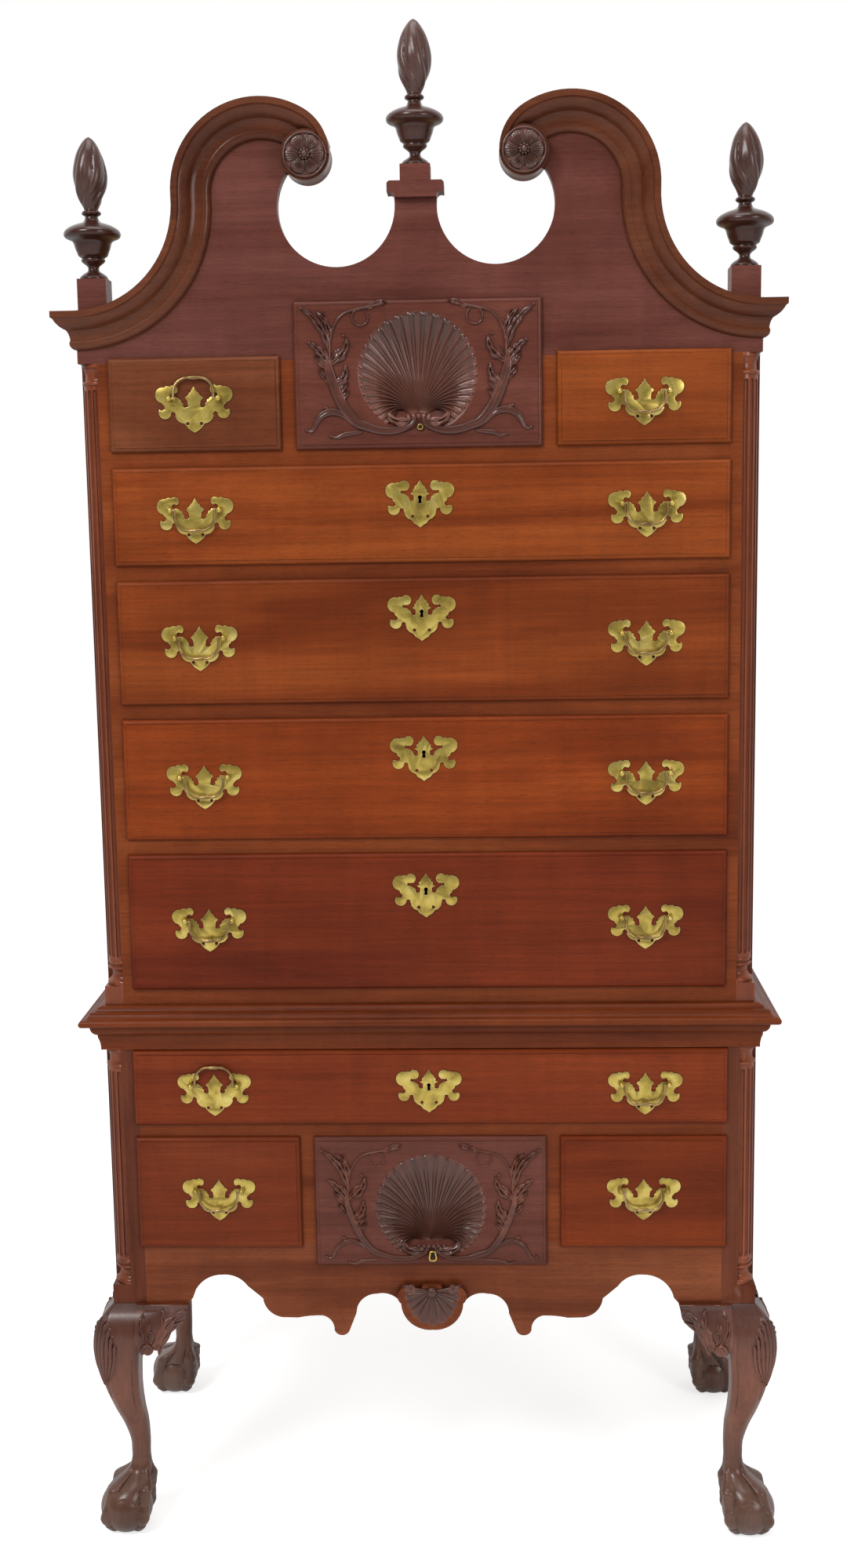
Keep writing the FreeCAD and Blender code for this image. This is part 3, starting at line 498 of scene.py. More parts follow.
# Middle tone of each plain drawer's wood, in linear colour, as all tones here are.
DRAWER_TONES = {
    "upper_long_4": (0.160, 0.022, 0.004),
    "upper_long_3": (0.238, 0.040, 0.005),
    "upper_long_2": (0.232, 0.045, 0.007),
    "upper_long_1": (0.256, 0.051, 0.008),
    "upper_small_left": (0.196, 0.055, 0.020),
    "upper_small_right": (0.262, 0.055, 0.009),
    "lower_long": (0.188, 0.028, 0.005),
    "lower_small_left": (0.158, 0.025, 0.005),
    "lower_small_right": (0.225, 0.036, 0.005),
}
brass = old_brass("old_brass")
bail_brass = old_brass("bail_brass", dark=(0.17, 0.105, 0.040), tone=(0.36, 0.235, 0.090),
                       light=(0.52, 0.38, 0.17), worn_and_highlight_tone=(0.70, 0.56, 0.34))
rail_wood = wood("rail_mahogany", (0.212, 0.044, 0.009), "x", (3.1, 0.2, 1.7))
column_wood = wood("column_mahogany", (0.275, 0.069, 0.027), "z", (2.4, 0.7, 0.1), grime_and_shade=0.15, reach=0.010,
                   coat=0.4)
side_wood = wood("side_mahogany", (0.155, 0.036, 0.014), "z", (0.9, 2.2, 5.0))
crown_wood = wood("crown_mahogany", (0.132, 0.036, 0.014), "x", (5.5, 0.1, 0.9), grime_and_shade=0.12, reach=0.009,
                  coat=0.3, wear_and_highlight=1.0)
pediment_wood = wood("pediment_mahogany", (0.134, 0.039, 0.027), "x", (1.5, 2.1, 0.4))
panel_wood = wood("carved_panel_mahogany", (0.136, 0.038, 0.024), "x", (0.2, 0.4, 0.9), grime_and_shade=0.30,
                  reach=0.008, coat=0.2)
vine_wood = carved_wood("vine_mahogany", (0.092, 0.028, 0.018), "x", (0.2, 0.4, 0.9))
lower_vine_wood = carved_wood("lower_vine_mahogany", (0.118, 0.034, 0.018), "x", (1.2, 0.4, 2.9), coat=0.5,
                              coat_rough=0.2)
shell_wood = carved_wood("shell_mahogany", (0.100, 0.033, 0.020), "z", (0.6, 0.6, 2.0), grime_and_shade=0.05,
                         reach=0.007)
# Painted shade and light on the upper shell: darker towards the top of its dish, which faces down, and
# lighter towards the bottom.
UPPER_SHELL_PAINTED_SHADE = [(UPPER_SHELL_Z - DISH_RADIUS * MM, grey(1.35)), (UPPER_SHELL_Z, grey(0.9)),
                    (UPPER_SHELL_Z + DISH_RADIUS * MM, grey(0.38))]
upper_shell_shaded_wood = carved_wood("upper_shell_mahogany", (0.132, 0.044, 0.028), "z", (0.6, 0.6, 2.0),
                               grime_and_shade=0.05, reach=0.007, tone_shade_and_sheen_by_height=UPPER_SHELL_PAINTED_SHADE)
rosette_wood = carved_wood("rosette_mahogany", (0.110, 0.044, 0.032), "x", (2.6, 1.6, 0.5), grime_and_shade=0.08,
                           reach=0.004)
flame_wood = carved_wood("flame_mahogany", (0.090, 0.040, 0.032), "z", (0.3, 3.6, 0.0), reach=0.010,
                         grime_and_shade=0.06, coat=0.5, coat_rough=0.24)
urn_wood = carved_wood("urn_mahogany", (0.060, 0.018, 0.011), "z", (0.3, 3.6, 0.0), reach=0.010,
                       grime_and_shade=0.15, coat=0.5, coat_rough=0.2)
# Tone with painted shade and sheen, by height: darker and bluer at the knee top and the foot, lighter and
# oranger along the shin.
LEG_TONE_SHADE_AND_SHEEN = [(0.0, (0.82, 1.10, 1.26)), (0.075, (0.86, 1.08, 1.18)), (0.125, (1.02, 1.04, 1.04)),
            (0.20, (1.30, 1.16, 1.02)), (0.28, (1.20, 1.06, 0.98)), (0.325, (0.80, 0.76, 0.80)),
            (0.375, (0.62, 0.66, 0.80))]
leg_wood = carved_wood("leg_mahogany", (0.166, 0.060, 0.035), "z", (4.6, 0.8, 0.2), grime_and_shade=0.07, reach=0.010,
                       coat=0.5, coat_rough=0.24, tone_shade_and_sheen_by_height=LEG_TONE_SHADE_AND_SHEEN)
post_wood = wood("post_mahogany", (0.150, 0.038, 0.016), "z", (4.6, 0.8, 0.2))
apron_wood = wood("apron_mahogany", (0.225, 0.058, 0.020), "x", (0.8, 0.5, 0.6), grime_and_shade=0.35)
waist_wood = wood("waist_mahogany", (0.180, 0.036, 0.008), "x", (2.8, 0.3, 0.5), grime_and_shade=0.30, reach=0.015)
inner_wood = wood("inner_poplar", (0.36, 0.22, 0.10), "y", (0.7, 0.2, 1.1), rough=0.65, coat=0.0, grime_and_shade=0.5)
back_wood = wood("back_pine", (0.22, 0.125, 0.060), "x", (1.9, 0.6, 0.4), rough=0.7, coat=0.0, grime_and_shade=0.4)

for name, material in (("case_sides", side_wood), ("case_backs", back_wood), ("upper_boards", inner_wood),
                       ("upper_frame", rail_wood), ("stand_frame", rail_wood), ("drawer_runners", inner_wood),
                       ("quarter_columns", column_wood), ("waist_moulding", waist_wood),
                       ("crown_moulding", crown_wood), ("scroll_board", pediment_wood),
                       ("finial_plinths", pediment_wood), ("apron", apron_wood)):
    dress(name, material)
for number, (name, tone) in enumerate(DRAWER_TONES.items()):
    shift = (0.7 * number, 0.37 * number, 1.9 * number)
    dress(name + "_front", wood(name + "_mahogany", tone, "x", shift))
    dress(name + "_box", inner_wood)
for name in ("upper_shell", "lower_shell"):
    dress(name + "_front", panel_wood)
    dress(name + "_box", inner_wood)


# -------------------- turned finials with flames
# Profiles from below upwards: radius and height in a drawing that is 190 high.
URN = [(0.1, 0), (19.4, 0), (19.8, 1.2), (19.6, 2.6), (18.0, 4.8), (15.4, 7.0), (12.4, 9.0), (9.4, 10.8),
       (8.0, 12.6), (7.6, 14.8), (8.0, 17.0), (9.6, 19.0), (12.0, 20.8), (14.2, 22.4), (16.0, 24.0),
       (16.8, 25.8), (16.4, 27.6), (15.6, 28.8), (17.8, 30.2), (20.6, 32.4), (22.2, 36.4), (24.0, 40.6),
       (25.4, 44.8), (26.4, 48.4), (27.8, 51.0), (30.6, 53.0), (34.8, 54.6), (38.0, 56.4), (39.6, 58.8),
       (39.9, 61.2), (39.2, 63.6), (37.4, 66.0), (34.4, 68.4), (31.0, 70.4), (26.6, 72.4), (21.0, 74.3),
       (15.6, 76.0), (12.2, 77.6), (10.4, 79.6), (9.4, 82), (9.0, 84), (9.6, 85.2), (11.6, 86.0),
       (13.1, 87.4), (13.6, 88.8), (13.1, 90.3), (11.6, 91.7), (10.2, 92.6), (9.9, 94)]
FLAME = [(9.9, 94), (11.2, 97), (13.8, 101.5), (16.8, 107.5), (19.6, 114), (22.0, 121), (23.8, 129),
         (24.6, 137), (24.4, 143), (23.4, 150), (21.6, 157), (19.4, 164), (16.4, 171), (12.8, 177.3),
         (8.8, 183), (4.6, 187.4), (0.1, 190)]
DRAWN_HIGH = 190.0
URN_RADIUS = 40.0
FLAME_LOBES = 5
FLAME_TURN = 0.72 * math.pi
FLAME_SWAY = 0.30       # how far the tongues lean to and fro on their way up


def turned(profile, around, lobes=None):
    """A turning on an upright axis. The profile is in radius and height."""
    path = np.array(profile, float)
    path[:, 1] *= (finial_high.z - finial_middle_low) / MM / DRAWN_HIGH
    path = smooth_run(path, 4 * (len(path) - 1) + 1)
    steps = len(path) - 1

    def place(u, v):
        row = np.rint(v * steps).astype(int)
        angle = 2 * math.pi * u
        radius = path[row, 0]
        if lobes:
            radius = lobes(radius, path[row, 1] / path[-1, 1] * DRAWN_HIGH, angle)
        return radius * np.cos(angle), radius * np.sin(angle), path[row, 1]
    piece = sheet(around, steps, place)
    weld(piece)
    return piece


def flame_lobes(radius, height, angle):
    """Broad tongues that sway about the flame, with a sharp hollow and a finer one beside each."""
    share = (height - FLAME[0][1]) / (FLAME[-1][1] - FLAME[0][1])
    turn = FLAME_TURN * share + FLAME_SWAY * np.sin(2 * math.pi * (share - 0.1))
    phase = (FLAME_LOBES * (angle - turn) / (2 * math.pi)) % 1.0
    hollow = 1 - np.clip(np.sin(math.pi * phase ** 0.62), 0, 1) ** 0.9
    fine = hump(phase, 0.58, 0.10) * ease(share / 0.15) * ease((0.75 - share) / 0.3)
    deep = 0.17 * ease(share / 0.12) * ease((1.0 - share) / 0.35)
    return radius * (1.0 - deep * hollow - 0.035 * fine)


corner_x = (finial_high.x - finial_low.x) / 2 - URN_RADIUS * MM
corner_y = finial_high.y - URN_RADIUS * MM
middle_y = finial_low.y + URN_RADIUS * MM
# Places of the middle, left and right finials. Each is turned its own way, and two are mirrored.
finial_places = [((0, middle_y, finial_middle_low), (0.94, 0.34, 0), (0.34, -0.94, 0)),
                 ((-corner_x, corner_y, finial_low.z), (1, 0, 0), (0, 1, 0)),
                 ((corner_x, corner_y, finial_low.z), (0.6, -0.8, 0), (-0.8, -0.6, 0))]
carve([turned(URN, 64)], finial_places, "finial_urns", urn_wood, replaces=["finials"])
carve([turned(FLAME, FLAME_LOBES * 20, flame_lobes)], finial_places, "finial_flames", flame_wood)


# -------------------- rosettes on the scrolls
PETALS = 6
PETAL_VEINS = 42
PETAL_REACH = 0.93      # share of the rosette's radius
RIM_THICK = 1.7
BOSS_RADIUS = 4.6
BOSS_OUT = 6.0
BOSS_BEADS = 9
BOSS_BEAD_RADIUS = 1.9
BOSS_BEAD_RING = 5.8    # radius of the circle that the beads stand on


def rosette(radius):
    """Six wide veined petals in a thin rim, around a beaded boss."""
    def place(u, v):
        angle = 2 * math.pi * u
        petal = np.abs(np.sin(PETALS / 2 * angle))      # 0 between two petals
        inside = np.clip((v - 0.2) / 0.8, 0, 1)
        leaf = ease((0.66 + 0.32 * petal ** 0.4 - v) / 0.08)
        bowl = 2.4 + 2.4 * np.sin(math.pi * inside ** 0.8) * petal ** 0.5
        veins = 1.1 * np.cos(PETAL_VEINS * angle) * inside ** 0.5 * (1 - ease((inside - 0.55) / 0.3))
        high = 1.0 + leaf * (bowl + veins) * (0.35 + 0.65 * petal ** 0.6)
        reach = PETAL_REACH * radius * v
        return reach * np.sin(angle), high, reach * np.cos(angle)
    made = [relief(10 * PETAL_VEINS, 30, place), ring(0, 1.6, 0, 0.945 * radius, RIM_THICK),
            bead(0, BOSS_OUT, 0, BOSS_RADIUS, 0.9)]
    for step in range(BOSS_BEADS):
        turn = 2 * math.pi * step / BOSS_BEADS
        x, z = BOSS_BEAD_RING * math.sin(turn), BOSS_BEAD_RING * math.cos(turn)
        made.append(bead(x, BOSS_OUT - 0.4, z, BOSS_BEAD_RADIUS, 1.0, 6))
    return made


rosette_radius = (rosette_high.z - rosette_low.z) / 2
rosette_x = rosette_high.x - rosette_radius
rosette_z = (rosette_high.z + rosette_low.z) / 2
rosette_places = [facing((side * rosette_x, rosette_high.y, rosette_z)) for side in (-1, 1)]
carve(rosette(rosette_radius / MM), rosette_places, "carved_rosettes", rosette_wood, replaces=["rosettes"])


# -------------------- carved shells and vines
SHELL_RIBS = 31
SHELL_REACH = math.radians(148)     # how far round the outermost rib ends
SHELL_HINGE = 56.0                  # below the shell's centre
SHELL_FAN = math.radians(68)        # how far the outermost rib leans where it leaves the hinge
SHELL_RIB_HIGH = 5.4
HINGE_BEAD_RADIUS = 2.9
HINGE_BEAD_PITCH = 7.4
KEY_UNDER = 75.0                    # the keyhole, below the shell's centre
KEY_ASIDE = 2.0                     # and to the right of it
KEYHOLE_RADIUS = 2.8


def shell():
    """Concave shell in the drawer's dish: ribs that bend out from the hinge, with a finer one between two."""
    ball = (DISH_RADIUS ** 2 + DISH_DEEP ** 2) / (2 * DISH_DEEP)

    def place(u, v):
        s = 2 * u - 1
        spread = np.abs(s)
        flute = wave(SHELL_RIBS * u)
        angle = np.sign(s) * SHELL_REACH * (1.35 * spread - 0.35 * spread ** 2)
        rim = DISH_RADIUS - 2.5 + 2.2 * flute ** 0.6
        out = np.stack([np.sin(angle), np.cos(angle)])
        start = np.stack([3 * s + 7 * s ** 3, 2 * (1 - s ** 2) - SHELL_HINGE])
        lean = s * SHELL_FAN
        first = start + 25 * np.stack([np.sin(lean), np.cos(lean)])
        second = 0.65 * rim * out - np.stack([0 * s, 7 * np.abs(np.sin(angle))])
        x, z = ((1 - v) ** 3 * start + 3 * v * (1 - v) ** 2 * first + 3 * v ** 2 * (1 - v) * second
                + v ** 3 * rim * out)
        from_centre = np.minimum(np.hypot(x, z), DISH_RADIUS)
        dish = np.sqrt(ball ** 2 - from_centre ** 2) - (ball - DISH_DEEP)
        ridge = (1 - flute ** 2) ** 1.4
        head = 1.3 * hump(v, 0.955, 0.03) * np.clip(1 - 1.6 * flute, 0, 1)
        between = hump((SHELL_RIBS * u) % 1.0, 0.5, 0.12)
        tall = 0.1 + SHELL_RIB_HIGH * v ** 0.9 * (1 - 0.45 * ease((v - 0.6) / 0.4))
        lift = 0.6 + tall * ridge + 0.36 * tall * between + head
        ending = ease((v - 0.93) / 0.07)
        lift = lift * arch(ending) - 0.8 * ending
        return x, lift - dish, z
    return relief(SHELL_RIBS * 14, 60, place)


def hinge(beads):
    """Row of beads and the two curled ears at the shell's hinge."""
    made = [bead((step - (beads - 1) / 2) * HINGE_BEAD_PITCH, 1.6, -SHELL_HINGE - 4, HINGE_BEAD_RADIUS, 0.9)
            for step in range(beads)]
    for side in (-1, 1):
        made.append(carved_leaf((side * 44, -57), (side * 9, -64), 8.5, 6.0, side * 0.20, 1))
        made.append(bead(side * 14, 4.0, -63, 3.4, 0.9))
    return made


VINE_STEP = 0.158       # millimetres in one step of the vine's drawing
VINE_CENTRE = (1128, 723)
# Left half of the vine. Stems: points, half widths, rise in millimetres and strands.
VINE_STEMS = [
    ([(1058, 1080), (1084, 1098), (1083, 1135), (1050, 1175), (980, 1210), (880, 1230), (770, 1222),
      (670, 1190), (580, 1155), (510, 1080), (450, 990), (410, 900), (375, 810), (345, 720), (330, 650),
      (335, 590)],
     [10, 16, 22, 28, 32, 35, 37, 40, 44, 48, 50, 50, 48, 46, 40, 26], 5.0, 2),
    ([(345, 590), (347, 520), (350, 450), (375, 350), (420, 260), (480, 205), (545, 180), (620, 165),
      (700, 150), (760, 135), (850, 105)],
     [14, 14, 13, 12, 12, 12, 12, 13, 14, 14, 4], 3.4, 1),
    ([(622, 168), (570, 188), (551, 240), (572, 292), (622, 312), (673, 291), (694, 240), (673, 190),
      (650, 176)],
     [8, 9, 9, 9, 9, 9, 9, 8, 6], 2.8, 1),
    ([(540, 1170), (470, 1095), (400, 1060), (320, 1060), (255, 1095), (215, 1150), (180, 1215),
      (130, 1220)],
     [12, 24, 31, 33, 30, 24, 17, 8], 4.2, 2),
    ([(620, 1235), (540, 1245), (460, 1255), (400, 1280), (345, 1270)], [14, 20, 22, 18, 6], 3.2, 1),
]
# Leaves: base, tip, half width, rise in millimetres, bend and lobes.
VINE_LEAVES = [
    ((350, 560), (95, 145), 46, 4.8, -0.12, 3),
    ((345, 470), (236, 182), 36, 4.6, -0.14, 2),
    ((338, 380), (295, 190), 20, 3.6, -0.06, 1),
    ((350, 660), (165, 445), 52, 5.0, -0.06, 3),
    ((345, 690), (212, 560), 34, 4.2, 0.05, 1),
    ((340, 630), (275, 500), 27, 4.2, -0.08, 1),
    ((345, 640), (512, 415), 50, 5.4, -0.14, 2),
    ((360, 640), (490, 490), 38, 4.4, 0.10, 1),
    ((380, 830), (490, 655), 52, 5.6, -0.18, 2),
    ((395, 870), (505, 765), 38, 4.6, 0.12, 1),
    ((432, 960), (512, 800), 38, 4.4, 0.16, 1),
    ((450, 1010), (520, 870), 30, 3.8, 0.14, 1),
    ((345, 790), (250, 680), 32, 4.2, 0.06, 1),
    ((350, 690), (230, 600), 30, 4.0, 0.06, 1),
    ((330, 1062), (286, 1012), 20, 3.0, -0.08, 1),
    ((690, 160), (858, 104), 34, 4.4, 0.05, 1),
]
# Beads: middle and radius.
VINE_BEADS = [((215, 272), 14), ((265, 287), 12), ((475, 397), 13), ((815, 122), 18), ((293, 1018), 12),
              ((128, 1212), 14), ((345, 1268), 12), ((100, 150), 14), ((168, 452), 14), ((488, 660), 14)]


def drawn(x, y):
    """Place on the panel, in millimetres from the shell's centre."""
    return (x - VINE_CENTRE[0]) * VINE_STEP, (VINE_CENTRE[1] - y) * VINE_STEP


def vine(stoutness):
    """Stems, leaves and beads. Stoutness is the share of their width that the stems keep."""
    made = []
    for points, widths, rise, strands in VINE_STEMS:
        made.append(carved_stem([drawn(*p) for p in points], [w * VINE_STEP * stoutness for w in widths],
                                rise * stoutness ** 0.5, strands=strands))
    for base, tip, width, rise, bend, lobes in VINE_LEAVES:
        made.append(carved_leaf(drawn(*base), drawn(*tip), width * VINE_STEP, rise, bend, lobes))
    for spot, radius in VINE_BEADS:
        x, z = drawn(*spot)
        made.append(bead(x, 1.6, z, radius * VINE_STEP, 1.0))
    return made


def round_key_edge():
    """Round brass edge of the keyhole under the upper shell."""
    return ring(0, 0.6, 0, 3.4, 1.2)


def drop_key_edge():
    """Drop-shaped brass edge of the keyhole under the lower shell."""
    right = [(3.6, 4.2), (4.2, 0.6), (5.2, -4.2), (4.2, -8.2)]
    points = [(0, 5.6)] + right + [(0, -9.4)] + [(-x, z) for x, z in right[::-1]] + [(0, 5.6)]
    return carved_stem(points, [1.3] * len(points), 1.5)


# Painted shade: a near-black disc lies where the keyhole's inside would be in shade; no hole is cut.
def keyhole_shade_disc(radius):
    def place(u, v):
        angle = 2 * math.pi * u
        return radius * v * np.sin(angle), 0.15 + 0 * u, radius * v * np.cos(angle)
    return relief(32, 2, place)


shadow, _, shadow_shader = new_material("keyhole_shadow")
shadow_shader.inputs["Base Color"].default_value = (0.010, 0.006, 0.004, 1)
shadow_shader.inputs["Roughness"].default_value = 0.9
for body, middle, front, fan_wood, stem_wood, stoutness, beads, key_edge in (
        ("upper_shell", UPPER_SHELL_Z, shell_low.y, upper_shell_shaded_wood, vine_wood, 1.0, 5,
         round_key_edge),
        ("lower_shell", LOWER_SHELL_Z, stand_shell_low.y, shell_wood, lower_vine_wood, 0.72, 6,
         drop_key_edge)):
    centre = (0, front, middle)
    mirrored = (centre, (-1, 0, 0), (0, -1, 0))
    carve([shell()] + hinge(beads), [facing(centre)], body + "_fan", fan_wood, body, angle=60)
    carve(vine(stoutness), [facing(centre), mirrored], body + "_vine", stem_wood, body)
    key_place = facing((KEY_ASIDE * MM, front, middle - KEY_UNDER * MM))
    carve([key_edge()], [key_place], body + "_key_ring", brass, body, angle=40)
    carve([keyhole_shade_disc(KEYHOLE_RADIUS)], [key_place], body + "_key_hole", shadow, body, angle=40)


# -------------------- cabriole legs
# The leg is drawn from the outer corner of its post, outwards positive, and up from the floor.
# From the knee down: height, inner and outer side of the square section, and its corner's share of it.
LEG_SECTIONS = [
    (373, -51, 0.5, 0.06), (366, -50.6, 8, 0.12), (359, -50, 14.5, 0.18), (351, -48.6, 19.6, 0.24),
    (343, -47, 23.2, 0.28), (334, -45, 26, 0.31), (324, -43, 27.9, 0.33), (312, -41, 29, 0.35),
    (300, -39.5, 29, 0.36), (282, -38, 27, 0.37), (265, -36.7, 23.3, 0.38), (233, -36, 16.8, 0.39),
    (199, -38, 6.6, 0.41), (169, -41.5, -4.2, 0.43), (139, -42.3, -12, 0.44), (116, -41.6, -13, 0.44),
    (104, -41, -13, 0.44)]
# Height, middle and radius of the ankle and of the web over the ball.
ANKLE = [(118, -27.5, 14.6), (104, -27.2, 15.3), (92, -25, 17.5), (82, -19, 22.5), (72, -12, 29.5),
         (62, -8, 34.5), (50, -5.5, 38)]
# Height, place of the outer and of the inner claws, and their radius.
CLAWS = [(118, -18, -36, 3), (103, -17, -37, 3.5), (92, -13, -37, 5), (84, -4, -37.5, 7), (76, 7, -38.5, 9),
         (68, 11.5, -38.5, 9), (56, 15, -38, 9), (40, 19.5, -36.5, 9), (25, 20.5, -34.5, 8.5),
         (12, 16, -30, 7), (3, 10, -24, 5)]
BALL_RADIUS = 40.0
BALL_HIGH = 37.0
BALL_MIDDLE = -5.5
KNUCKLES = [(72, 6, 1.2), (50, 5, -1.0), (29, 6, 1.5), (18, 1.8, -1.4)]     # height, spread and swelling
ANKLE_TOP = 118.0
ANKLE_FOOT = 104.0      # where the square leg has become the round ankle
# Leaf over the knee: height and half width, measured round the corner.
KNEE_LEAF = [(373, 34), (340, 36), (311, 38), (293, 37), (278, 31), (263, 20), (251, 9), (243, 0)]
KNEE_LEAF_TOP = 359.0
KNEE_RIBS = 5           # on each side of the corner
KNEE_FALL = 46.0        # how much lower the tops of the outer ribs lie
KNEE_ARCH = 6.0         # rise of each rib's round top
CORNER_REACH = 46.0     # from the leg's middle line to the knee's corner
TUFT_SPREAD = 5.0
TUFT_HIGH = 1.6
SHIN_GROOVE = 2.2
SHIN_GROOVE_IN = 8.0    # from the inner edges of the shin


def square_reach(inner, outer, share, cos, sin):
    """How far a square with rounded corners reaches along each direction."""
    corner = (outer - inner) * share
    flat = (outer - inner) / 2 - corner
    most = np.maximum(np.abs(cos), np.abs(sin))
    least = np.minimum(np.abs(cos), np.abs(sin))
    straight = (flat + corner) / most
    to_round = flat * (most + least)
    rounded = to_round + np.sqrt(np.maximum(to_round ** 2 - (2 * flat ** 2 - corner ** 2), 0))
    return np.where(straight * least <= flat, straight, rounded)


def disc_reach(x, y, radius, cos, sin):
    """How far a disc reaches along each direction. Past its sides it drops away steeply."""
    left = radius ** 2 - (x * sin - y * cos) ** 2
    return x * cos + y * sin + np.where(left > 0, 1, 1.5) * np.sign(left) * np.sqrt(np.abs(left))


def soft_most(reaches, sharp=1.9):
    """The largest of the reaches, with a small fillet where two of them meet."""
    most = np.max(reaches, axis=0)
    return most + np.log(np.sum(np.exp(sharp * (np.array(reaches) - most)), axis=0)) / sharp


def knee_carving(z, away, face_in):
    """Relief of the knee: the leaf over its corner, a tuft under it and a groove down the shin."""
    arc = CORNER_REACH * away
    half = np.maximum(at_height(KNEE_LEAF, z)[0], 0.1)
    across = np.abs(arc) / half
    rib = wave(KNEE_RIBS * across) ** 0.6
    number = np.floor(KNEE_RIBS * across)
    off_middle = 2 * (KNEE_RIBS * across - number) - 1
    top = KNEE_LEAF_TOP - KNEE_FALL * ((number + 0.5) / KNEE_RIBS) ** 1.4 - KNEE_ARCH * (1 - arch(off_middle))
    below = top - z
    leaf = (0.9 + 2.7 * rib) * ease(below / 2.0) + 1.6 * rib * hump(below, 4, 2.6)
    leaf = leaf * ease((1 - across) * half / 1.5) * ease((z - KNEE_LEAF[-1][0]) / 6)
    tuft = 0
    for lobe in (-1, 0, 1):
        side = np.abs(arc - TUFT_SPREAD * lobe * (z - 215) / 33)
        tuft = np.maximum(tuft, TUFT_HIGH * arch(side / 2.8) * ease((250 - z) / 4)
                          * ease((z - 218 - 5 * abs(lobe)) / 5))
    shin = ease((z - 185) / 20) * ease((298 - z) / 8)
    groove = SHIN_GROOVE * hump(face_in, SHIN_GROOVE_IN, 1.6) * shin
    return leaf + tuft - groove


def leg_skin(around, rows, carved):
    """The leg under its post, closed: x and y outwards from the post's outer corner, and height."""
    def place(u, v):
        row = np.rint(v * rows)
        share = np.clip((row - 1) / (rows - 2), 0, 1)
        z = np.interp(share, [0, 0.6, 1], [LEG_SECTIONS[0][0], ANKLE_TOP, 0])
        spin = 2 * u - 1
        away = math.pi * (0.45 * spin + 0.55 * spin ** 3)      # 0 along the outer corner
        cos, sin = np.cos(away + math.pi / 4), np.sin(away + math.pi / 4)
        inner, outer, corner = at_height(LEG_SECTIONS, z)
        corner = corner * (1 - 0.6 * np.sin(away) ** 2 * ease((z - 140) / 90))      # crisp by the brackets
        middle, girth = at_height(ANKLE, z)
        above = ease((z - ANKLE_FOOT) / (ANKLE_TOP - ANKLE_FOOT))
        centre = above * (inner + outer) / 2 + (1 - above) * middle
        core = above * square_reach(inner, outer, corner, cos, sin) + (1 - above) * girth
        if carved:
            face_in = centre + core * np.minimum(cos, sin) - inner
            core = core + knee_carving(z, away, face_in) * ease((z - 180) / 10)
        slice_radius = np.sqrt(np.maximum(BALL_RADIUS ** 2 - (z - BALL_HIGH) ** 2, 0))
        ball = disc_reach(BALL_MIDDLE - centre, BALL_MIDDLE - centre, slice_radius, cos, sin)
        ball = ball - 60 * ease((z - BALL_HIGH - BALL_RADIUS) / 6)
        web_edge = 42 + 19 * np.abs(np.sin(2 * away)) ** 0.8
        over = ease((z - web_edge) / 2.5)
        reaches = [over * core + (1 - over) * (ball - 3), ball]
        claw_out, claw_in, claw_radius = at_height(CLAWS, z)
        claw_radius = claw_radius + sum(swell * hump(z, high, spread) for high, spread, swell in KNUCKLES)
        fade = 6 * (1 - ease((128 - z) / 20)) + 60 * ease((z - 128) / 4) + 60 * (1 - ease((z - 2.5) / 2.5))
        for claw_x in (claw_out, claw_in):
            for claw_y in (claw_out, claw_in):
                reaches.append(disc_reach(claw_x - centre, claw_y - centre, claw_radius, cos, sin) - fade)
        reach = np.where((row == 0) | (row == rows), 0, soft_most(reaches))
        return centre + reach * cos, centre + reach * sin, z
    piece = sheet(around, rows, place)
    weld(piece)
    return piece


# The bracket beside the knee: its lower edge as place along the front (from the post's outer corner,
# outwards positive) and height under the knee's top.
BRACKET_EDGE = [(-36, -76), (-52, -75), (-61, -72), (-68, -65), (-75, -56), (-77, -48), (-84, -38),
                (-98, -30), (-109, -24), (-113, -8), (-115, 0)]
BRACKET_OUT = 9.0       # its face, before the frame
BRACKET_CURL = (-54, -65)
BRACKET_CURL_WIDTHS = [3.0, 3.2, 3.2, 3.0, 3.0, 2.8, 2.6, 2.2, 2.0, 1.6, 1.2]
# Leaves: base, tip (heights under the knee's top), half width, rise, bend and lobes.
BRACKET_LEAVES = [
    ((-65, -66), (-111, -7), 9.5, 4.0, -0.10, 3),
    ((-62, -60), (-77, -6), 6.5, 3.6, 0.12, 2),
    ((-56, -58), (-45, -12), 5.0, 3.4, -0.16, 2),
    ((-70, -74), (-108, -26), 6.5, 3.2, -0.14, 2),
    ((-60, -56), (-58, -18), 4.0, 3.0, -0.10, 1),
]
BRACKET_BEADS = [(-46.5, -15, 2.8), (-59.5, -38, 2.4), (-76, -9, 2.4), (-109, -10, 2.6)]    # and radius


def bracket_ground(x, z):
    """The bracket's face swells towards the knee, as far as the knee does."""
    outer = at_height(LEG_SECTIONS, z)[1]
    return BRACKET_OUT + np.maximum(outer - 10, 0) * ease((x + 106) / 62)


def bracket_swell():
    edge = smooth_run(BRACKET_EDGE, 12 * (len(BRACKET_EDGE) - 1) + 1)

    def place(u, v):
        row = np.rint(u * (len(edge) - 1)).astype(int)
        x = edge[row, 0]
        z = KNEE_TOP / MM + edge[row, 1] * v
        round_edge = 1 - v ** 8
        high = (bracket_ground(x, z) - BRACKET_OUT) * round_edge ** 0.5 - 0.6 * v ** 8
        return x, BRACKET_OUT + high + 0.2 * (1 - v), z
    return relief(len(edge) - 1, 24, place)


